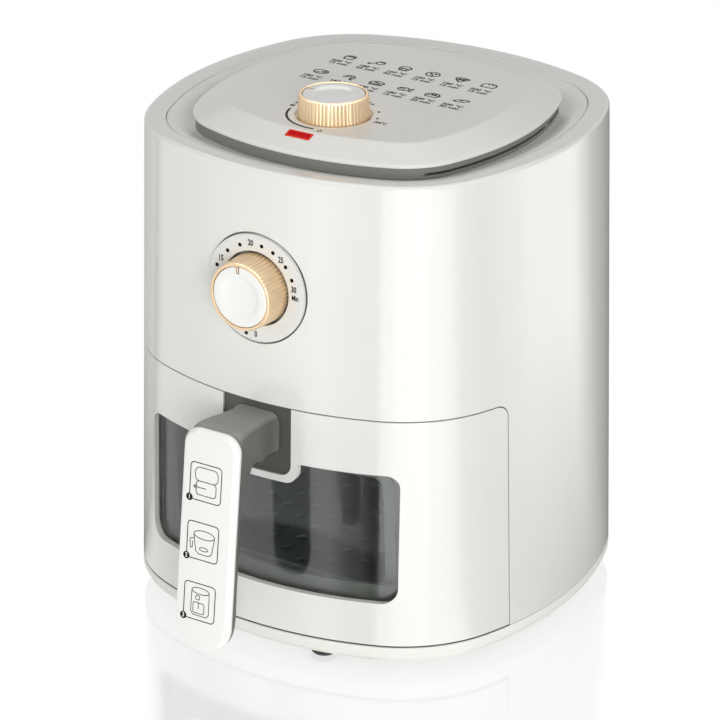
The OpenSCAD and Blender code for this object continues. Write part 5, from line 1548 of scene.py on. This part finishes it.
@dataclass
class Handle:
    """The leaning handle: a dark core with its arm, and a light cover with three pictograms."""

    reach: float = 59.0
    foot: float = 25.3
    length: float = 137.7
    lean_a: float = 6.8
    width: float = 39.2
    cover_t: float = 5.0
    core_t: float = 5.6
    top_r: float = 11.0
    foot_r: float = 18.5
    plinth_front: float = 1.2
    frame_tops: Point3 = (124.6, 88.0, 50.0)
    frame_x: float = -1.3
    frame_w: float = 22.0
    frame_h: float = 23.0
    frame_line: float = 0.62
    drawing_line: float = 0.5
    spot_r: float = 2.3
    spot_rise: float = 0.8
    number_h: float = 2.7

    def on(self, h: float, d: float) -> Point2:
        """Returns (y, z) at a height h along the handle and a depth d behind its face."""
        c, s = polar(1, math.radians(self.lean_a))
        y0 = -PLAN.depth / 2 - self.reach
        return (y0 + d * c + h * s, self.foot - d * s + h * c)

    def cover(self) -> bpy.types.Object:
        """Builds the light cover with its bevelled face."""
        rings: List[Ring] = []
        bevel = (
            (3.0, 0.0), (2.5, 0.07), (2.2, 0.22), (0.35, 2.6), (0.1, 2.95), (0.0, 3.3),
            (0.0, self.cover_t - 0.3), (0.3, self.cover_t),
        )
        for g, d in bevel:
            w, high = self.width / 2 - g, self.length - g
            low_r, high_r = self.foot_r - g, self.top_r - g
            s = rounded([(-w, g, low_r), (w, g, low_r), (w, high, high_r), (-w, high, high_r)], 20)
            rings.append([(x, *self.on(v, d)) for x, v in s])
        cover = loft("handle_cover_shell", rings, sharp=55)
        # the cover's brighter white is painted light
        return dress(cover, LIT_WHITE_ABS, "drawer", ["handle_cover"])

    def section(self, up: Point2, low: Point2, w: float, r0: float, r1: float) -> Ring:
        """Returns one cross-section of the core between an upper and a lower point."""
        tall = math.hypot(up[0] - low[0], up[1] - low[1])
        n = ((up[0] - low[0]) / tall, (up[1] - low[1]) / tall)
        s = rounded([(-w, 0, r1), (w, 0, r1), (w, tall, r0), (-w, tall, r0)], 8)
        return [(x, low[0] + n[0] * v, low[1] + n[1] * v) for x, v in s]

    def core(self) -> bpy.types.Object:
        """Builds the core and the arm as one smooth form."""
        d, t, w = self.cover_t + 0.1, self.core_t, self.width / 2 - 0.9
        top, h = LEVELS.drawer_high - 5, 23.0
        foot_z = top - h - 2.2

        def root(z: float) -> float:
            """Returns where the arm meets the plate at height z."""
            return PLAN.front_y(z) + self.plinth_front - FIT

        ry = root(LEVELS.drawer_high - 15)
        crown, knee = self.on(112, 0)[0], self.on(self.length, 0)[0] + 10
        # each row: upper point, lower point, half width, upper and lower corner radius
        keys = (
            (self.on(1.6, d), self.on(2.8, d + 3), w - 11, 0.4, 1.2),
            (self.on(2.8, d), self.on(4.4, d + t * 0.8), w - 7.4, 0.4, 1.4),
            (self.on(9, d), self.on(10, d + t), w - 2.4, 0.4, 2.2),
            (self.on(18, d), self.on(18, d + t), w, 0.4, 2.4),
            (self.on(44, d), self.on(44, d + t), w, 0.4, 2.4),
            (self.on(70, d), self.on(70, d + t), w, 0.4, 2.4),
            (self.on(98, d), self.on(95, d + t + 0.6), w, 0.4, 2.4),
            (self.on(116, d), self.on(106, d + t + 4), w, 2, 2.4),
            (self.on(132, d), (crown + 22, top - h + 3), w, 5, 2.4),
            ((knee, top + 2.2), (crown + 31, top - h + 0.6), w - 0.6, 5, 2.4),
            ((ry - 14, top + 0.8), (ry - 12, top - h), w - 3.0, 5, 2.4),
            ((ry - 5, top + 0.2), (ry - 5, top - h - 0.6), w - 3.6, 5.4, 2.4),
            ((root(top + 0.9), top + 0.9), (root(foot_z + 1.2), foot_z + 1.2), w - 2.2, 6.4, 3),
        )
        rings = smooth_between([self.section(*key) for key in keys], 5)
        core = loft("handle_core_arm", rings, sharp=60)
        # the core's upward faces are painted lighter: painted light on its top
        return dress(core, DARK_ABS_PAINTED_LIT_TOP, "drawer", ["handle_core"])

    def pictograms(self) -> None:
        """Prints three numbered frames, each with a plain line drawing."""
        c, s = polar(1, math.radians(self.lean_a))
        sheet = Sheet((0.0, *self.on(0, 0)), (1, 0, 0), (0, s, c), (0, -c, s))
        ink = Printing()
        x0, hw, high = self.frame_x, self.frame_w / 2, self.frame_h
        frames, drawings, places = [], [], []
        for i, z in enumerate(self.frame_tops):
            top = z + LEVELS.foot - self.foot
            frames.append(rounded(rect(x0 - hw, top - high, x0 + hw, top, 2.6), 6))
            middle = top - high / 2
            drawings += [[(x0 + u, middle + v) for u, v in line] for line in self.drawing(i)]
            places.append((x0 - hw, top - high + self.spot_rise))
        numbers = [(str(i + 1), *place) for i, place in enumerate(places)]
        made = ink.strokes("handle_frames", sheet, frames, self.frame_line, loop=True)
        dress(made, INK_GREY, "drawer")
        made = ink.strokes("handle_drawings", sheet, drawings, self.drawing_line)
        dress(made, INK_GREY, "drawer")
        made = ink.patches("handle_spots", sheet, spots_at(places, self.spot_r, 24), 0.03)
        dress(made, INK, "drawer")
        made = ink.words("handle_numbers", sheet, numbers, self.number_h, 0.08)
        dress(made, INK_WHITE, "drawer")

    @staticmethod
    def drawing(index: int) -> List[List[Point2]]:
        """Returns the lines of one plain drawing: drawer out, pan, or whole appliance."""
        if index == 0:
            box = rounded(rect(-6.5, -8, 7.5, 0.5, 2), 5)
            body = rounded(rect(-7.5, 0.5, 8.5, 9, 3), 5)
            arrow = [[(0.5, -3.5), (-8.2, -3.5)], [(-6.4, -1.9), (-8.4, -3.5), (-6.4, -5.1)]]
            return [box + box[:1], body + body[:1], *arrow]
        if index == 1:
            rim = arc(1.0, 4.2, 7.4, 2.6)
            wall = [(-6.4, 4.0), (-4.6, -6.4), (-2.6, -8.0), (4.8, -8.0), (6.8, -6.2), (8.4, 4.0)]
            grip = [(-6.2, 1.2), (-9.0, 0.4), (-8.6, -5.2), (-7.2, -5.0), (-7.0, -0.8)]
            return [rim, wall, grip, arc(1.0, -4.6, 3.0, 1.1)]
        lid = arc(0.5, 7.0, 6.2, 2.0)
        walls = [[(-5.7, 7.0), (-5.9, -6.6), (-4.2, -8.6), (5.2, -8.6), (6.9, -6.6), (6.7, 7.0)]]
        front = rounded(rect(-4.4, -7.2, 3.4, -0.6, 0.8), 3)
        dial, grip = arc(-1.4, 2.6, 1.5, 1.5), [(-0.6, -0.6), (-0.6, -4.6)]
        return [lid, *walls, front + front[:1], dial, grip]

    def build(self) -> None:
        """Builds the handle's pieces."""
        self.core()
        self.cover()
        self.pictograms()


def smooth_between(keys: Sequence[Ring], steps: int) -> List[Ring]:
    """Fills in rings between key rings along smooth curves.

    Args:
        keys: the key rings, of equal length.
        steps: rings from one key to the next.

    Returns:
        The rings, which pass through the keys.
    """
    k = [np.array(r, float) for r in keys]
    out: List[Ring] = []
    for i in range(len(k) - 1):
        p0, p1, p2, p3 = k[max(i - 1, 0)], k[i], k[i + 1], k[min(i + 2, len(k) - 1)]
        t1 = max(float(np.linalg.norm(p1 - p0, axis=1).mean()) ** 0.5, 1e-3)
        t2 = max(float(np.linalg.norm(p2 - p1, axis=1).mean()) ** 0.5, 1e-3)
        t3 = max(float(np.linalg.norm(p3 - p2, axis=1).mean()) ** 0.5, 1e-3)
        m1 = m2 = p2 - p1
        if i > 0:
            m1 = t2 * ((p1 - p0) / t1 - (p2 - p0) / (t1 + t2) + (p2 - p1) / t2)
        if i < len(k) - 2:
            m2 = t2 * ((p2 - p1) / t2 - (p3 - p1) / (t2 + t3) + (p3 - p2) / t3)
        for j in range(steps):
            s = j / steps
            h = (2 * s**3 - 3 * s**2 + 1, s**3 - 2 * s**2 + s, -2 * s**3 + 3 * s**2, s**3 - s**2)
            ring = h[0] * p1 + h[1] * m1 + h[2] * p2 + h[3] * m2
            out.append([tuple(p) for p in ring])
    out.append([tuple(p) for p in k[-1]])
    return out


# ---------------------------------------------------------------- pan


@dataclass
class Pan:
    """The frying pan that stands in the drawer."""

    half_w: float = 105.0
    front: float = 105.0
    back: float = 104.0
    front_r: float = 66.0
    back_r: float = 50.0
    low: float = 24.5
    high: float = 136.5
    wall: float = 1.6
    draft: float = 3.5
    rim: float = 4.4
    rim_t: float = 1.6
    floor_r: float = 9.0
    opening_half_w: float = 68.0

    def plan(self, g: float, z: float) -> Ring:
        """Returns the pan's outline, grown by g, at a height."""
        w, front, back = self.half_w + g, -self.front - g, self.back + g
        r0, r1 = self.front_r + g, self.back_r + g
        corners = [(-w, front, r0), (w, front, r0), (w, back, r1), (-w, back, r1)]
        return [(x, y, z) for x, y in rounded(corners, 24)]

    def build(self) -> bpy.types.Object:
        """Builds the pan with its rolled rim and the opening of its window."""
        high, under, rim, r = self.high, self.high - self.rim_t, self.rim, self.floor_r
        foot: List[Point2] = []
        for a in np.radians(range(0, 91, 10)):
            foot.append((-self.draft - r * (1 - math.sin(a)), self.low + r * (1 - math.cos(a))))
        rows = foot + [
            (0.0, under - 0.6), (0.5, under), (rim - 0.6, under), (rim, high - 1.1),
            (rim, high - 0.5), (rim - 0.5, high), (0.2, high), (-0.9, high - 0.5),
            (-self.wall, high - 1.4),
        ]
        rows += [(t - self.wall, z + self.wall) for t, z in reversed(foot)]
        pan = loft("frying_pan_shell", [self.plan(g, z) for g, z in rows], sharp=40)
        w = self.opening_half_w
        opening = rounded(rect(-w, self.low + 20, w, high - 18, 8), 10)
        apply_cut(pan, prism(opening, "y", -FAR, -50))
        resharpen(pan, 40)
        return dress(pan, PAN_COAT, "drawer", ["frying_pan"])


# ---------------------------------------------------------------- nodes that stay


KEPT: Dict[str, Material] = {
    "timer_body": SHEET_STEEL, "timer_bell": BRIGHT_STEEL, "thermostat_body": SHEET_STEEL,
    "thermostat_bulb": COPPER_TUBE, "rubber_feet": RUBBER_BLACK, "front_bezel": DARK_ABS,
    "cavity_liner": SHEET_STEEL, "drawer_rails": SHEET_STEEL, "heat_reflector": ALUMINIUM,
    "heating_element": HEATER_TUBE, "heater_clips": SHEET_STEEL, "heater_guard": BRIGHT_STEEL,
    "motor_bracket": SHEET_STEEL, "motor_stator": LAMINATIONS, "motor_coil": COPPER_WIRE,
    "motor_bearings": SHEET_STEEL, "rear_vent": WHITE_ABS, "exhaust_duct": ALUMINIUM,
    "cord_gland": DARK_ABS, "terminal_block": CERAMIC, "thermal_fuse": CERAMIC,
    "microswitch_body": SWITCH_BLACK, "base_screws": ZINC, "motor_shaft": BRIGHT_STEEL,
    "rotor_core": LAMINATIONS, "convection_fan": SHEET_STEEL, "fan_nut": ZINC,
    "cooling_fan": FAN_PLASTIC, "timer_shaft": SHEET_STEEL, "temp_shaft": SHEET_STEEL,
    "window_gasket": SILICONE_WHITE, "drawer_backing": DARK_ABS, "handle_screws": ZINC,
    "pan_bracket": PAN_COAT, "pan_glass": PAN_GLASS, "pan_glass_frame": PAN_COAT,
    "crisper_plate": PAN_COAT, "crisper_bumpers": SILICONE_RED, "crisper_loop": BRIGHT_STEEL,
    "switch_plunger": SWITCH_RED, "indicator_lamp": LAMP_GLASS,
}


def finish_kept(nodes: Dict[str, bpy.types.Object]) -> None:
    """Gives each CAD node that stays its own finish.

    Args:
        nodes: the frame's nodes by name.
    """
    for name, finish in KEPT.items():
        node = nodes[name]
        node.data.materials.clear()
        node.data.materials.append(finish.build())
        LOG.info("%s keeps its shape", name)


# ---------------------------------------------------------------- stage


@dataclass
class Studio:
    """Floor, world, lamps and camera."""

    eye: Point3 = (1.0686, -1.6490, 1.0101)
    target: Point3 = (-0.00927, 0.0235, 0.1416)
    lens: float = 174.35
    # What a polished wall sees of the floor: bearing right of the front in degrees, brightness
    sheen: Tuple[Tuple[float, float], ...] = (
        (-90, 0.0), (-76, 1.2), (-62, 1.0), (-48, 1.2), (-34, 1.2), (-22, 1.3),
        (-10, 1.8), (2, 0.5), (10, 0.0), (15, 2.3), (33, 2.8), (48, 3.0), (60, 2.8),
        (68, 2.4), (84, 0.0), (104, 0.0), (118, 1.4), (127, 2.3), (150, 2.3),
        (160, 0.8), (166, 0.1), (180, 0.0), (260, 0.6),
    )
    sheen_centre: Point2 = (0.060, -0.029)
    # distances from the middle, in metres, over which the painted shadow in the bands fades out
    shade: Point2 = (0.14, 0.62)
    lighting: float = 0.47
    sky: Point2 = (1.0, 3.3)
    floor_white: float = 1.045

    def seen(self, tree: bpy.types.NodeTree) -> bpy.types.NodeSocket:
        """Returns 1 where a camera, glossy or transmission ray looks, else 0."""
        path = add_node(tree, "ShaderNodeLightPath")
        seen = path.outputs["Is Camera Ray"]
        for kind in ("Is Glossy Ray", "Is Transmission Ray"):
            ports = {0: seen, 1: path.outputs[kind]}
            seen = add_node(tree, "ShaderNodeMath", ports, operation="MAXIMUM").outputs[0]
        return seen

    def bands(self, tree: bpy.types.NodeTree) -> bpy.types.NodeSocket:
        """Returns the floor's glare: bands that fan out from the front corner."""
        where = add_node(tree, "ShaderNodeTexCoord").outputs["Object"]
        x, y = self.sheen_centre
        ports = {"Vector": where, "Location": (-x, -y, 0)}
        moved = add_node(tree, "ShaderNodeMapping", ports).outputs["Vector"]
        fan = add_node(tree, "ShaderNodeTexGradient", {"Vector": moved}, gradient_type="RADIAL")
        turn = fan.outputs["Fac"]
        ramp = add_node(tree, "ShaderNodeValToRGB", {"Fac": turn})
        ramp.color_ramp.interpolation = "EASE"
        stops = ramp.color_ramp.elements
        while len(stops) > 1:
            stops.remove(stops[-1])
        top = max(value for _, value in self.sheen)
        for number, (bearing, value) in enumerate(self.sheen):
            stop = stops[0] if number == 0 else stops.new(0.25 + bearing / 360)
            stop.position = 0.25 + bearing / 360
            stop.color = (value / top, value / top, value / top, 1)
        # on the right the bands are dimmed near the object: a painted shadow of the object on the
        # floor, seen only in reflections
        reach = add_node(tree, "ShaderNodeVectorMath", {0: moved}, operation="LENGTH")
        ports = {0: reach.outputs["Value"], 1: self.shade[0], 2: self.shade[1]}
        far = add_node(tree, "ShaderNodeMapRange", ports).outputs[0]
        ports = {0: turn, 1: 0.25 + 90 / 360, 2: 0.25 + 112 / 360}
        right = add_node(tree, "ShaderNodeMapRange", ports).outputs[0]
        painted_shadow_level = add_node(tree, "ShaderNodeMath", {0: far, 1: top}, operation="MULTIPLY").outputs[0]
        level = add_node(tree, "ShaderNodeMix", {0: right, 2: top, 3: painted_shadow_level}).outputs[0]
        ports = {0: ramp.outputs["Color"], 1: level}
        return add_node(tree, "ShaderNodeMath", ports, operation="MULTIPLY").outputs[0]

    def world(self) -> None:
        """Builds the world: white where it is seen, soft grey where it lights."""
        world = bpy.data.worlds.new("studio_world")
        bpy.context.scene.world = world
        tree = empty_tree(world)
        levels = {0: self.seen(tree), 3: self.lighting, 4: 1.0}
        strength = add_node(tree, "ShaderNodeMapRange", levels).outputs[0]
        ray = add_node(tree, "ShaderNodeTexCoord").outputs["Generated"]
        up = add_node(tree, "ShaderNodeSeparateXYZ", {"Vector": ray}).outputs["Z"]
        levels = {0: up, 1: 0.52, 2: 0.76, 3: self.sky[0], 4: self.sky[1]}
        sky = add_node(tree, "ShaderNodeMapRange", levels).outputs[0]
        glossy = add_node(tree, "ShaderNodeLightPath").outputs["Is Glossy Ray"]
        strength = add_node(tree, "ShaderNodeMix", {0: glossy, 2: strength, 3: sky}).outputs[0]
        back = add_node(tree, "ShaderNodeBackground", {"Color": (1, 1, 1, 1), "Strength": strength})
        add_node(tree, "ShaderNodeOutputWorld", {"Surface": back.outputs[0]})

    def floor(self) -> None:
        """Builds a pale floor with a faint mirror image and a faint shadow."""
        a = 6.0  # half the floor's width in metres
        mesh = bpy.data.meshes.new("floor")
        mesh.from_pydata([(-a, -a, 0), (a, -a, 0), (a, a, 0), (-a, a, 0)], [], [(0, 1, 2, 3)])
        made = bpy.data.objects.new("floor", mesh)
        bpy.context.scene.collection.objects.link(made)
        material = bpy.data.materials.new("floor_white_acrylic_polished")
        tree = empty_tree(material)
        where = add_node(tree, "ShaderNodeTexCoord").outputs["Object"]
        cloud = add_node(tree, "ShaderNodeTexNoise", {"Vector": where, "Scale": 3.0}).outputs["Fac"]
        rough = add_node(tree, "ShaderNodeMapRange", {0: cloud, 3: 0.1, 4: 0.14}).outputs[0]
        matt = add_node(tree, "ShaderNodeBsdfDiffuse", {"Color": (0.8, 0.8, 0.8, 1)})
        glossy = add_node(tree, "ShaderNodeLightPath").outputs["Is Glossy Ray"]
        levels = {0: glossy, 2: self.floor_white, 3: self.bands(tree)}
        strength = add_node(tree, "ShaderNodeMix", levels).outputs[0]
        plain = (1, 1, 1, 1)
        white = add_node(tree, "ShaderNodeEmission", {"Color": plain, "Strength": strength})
        gloss = add_node(tree, "ShaderNodeBsdfAnisotropic", {"Color": plain, "Roughness": rough})
        levels = {0: self.seen(tree), 3: 0.2, 4: 0.92}
        share = add_node(tree, "ShaderNodeMapRange", levels).outputs[0]
        ports = {0: share, 1: matt.outputs[0], 2: white.outputs[0]}
        lit = add_node(tree, "ShaderNodeMixShader", ports)
        straight = add_node(tree, "ShaderNodeLightPath").outputs["Is Camera Ray"]
        mirror = add_node(tree, "ShaderNodeMapRange", {0: straight, 3: 0.08, 4: 0.26}).outputs[0]
        ports = {0: mirror, 1: lit.outputs[0], 2: gloss.outputs[0]}
        top = add_node(tree, "ShaderNodeMixShader", ports)
        add_node(tree, "ShaderNodeOutputMaterial", {"Surface": top.outputs[0]})
        mesh.materials.append(material)

    def lamp(self, name: str, at: Point3, size: Tuple[float, float], power: float) -> None:
        """Adds a soft rectangular lamp that looks at the object.

        Args:
            name: the lamp's name.
            at: its place in metres.
            size: its width and height in metres.
            power: its power in watts.
        """
        data = bpy.data.lights.new(name, "AREA")
        data.shape = "RECTANGLE"
        data.size, data.size_y = size
        data.energy = power
        lamp = bpy.data.objects.new(name, data)
        bpy.context.scene.collection.objects.link(lamp)
        lamp.location = at
        lamp.rotation_euler = look(at, (0.0, 0.0, 0.16))

    def camera(self) -> None:
        """Adds the camera."""
        data = bpy.data.cameras.new("camera")
        data.lens = self.lens
        data.sensor_width = 36.0
        data.clip_end = 20.0
        made = bpy.data.objects.new("camera", data)
        bpy.context.scene.collection.objects.link(made)
        made.location = self.eye
        made.rotation_euler = look(self.eye, self.target)
        bpy.context.scene.camera = made

    def build(self) -> None:
        """Builds the stage."""
        bpy.context.scene.view_settings.view_transform = "Standard"
        self.world()
        self.floor()
        self.lamp("key_right", (1.62, -1.96, 0.70), (1.3, 1.0), 33.0)
        self.lamp("fill_left", (-1.9, -1.5, 0.6), (1.2, 1.0), 3.5)
        self.camera()


def look(eye: Point3, target: Point3) -> Tuple[float, float, float]:
    """Returns the turn that makes a camera or lamp at eye look at target."""
    return tuple((Vector(target) - Vector(eye)).to_track_quat("-Z", "Y").to_euler())


def main() -> None:
    """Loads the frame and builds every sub-assembly."""
    logging.basicConfig(level=logging.INFO, format="%(name)s: %(message)s")
    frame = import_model()
    Studio().build()
    finish_kept(frame["nodes"])
    assemblies = [
        Housing(), TopPlate(), PlatePrint(), Dial(),
        Knob(KnobPlace.TIMER, 18.1), Knob(KnobPlace.TEMPERATURE, 15.1),
        Drawer(), Handle(), Pan(),
    ]
    for assembly in assemblies:
        assembly.build()


if __name__ == "__main__":
    main()
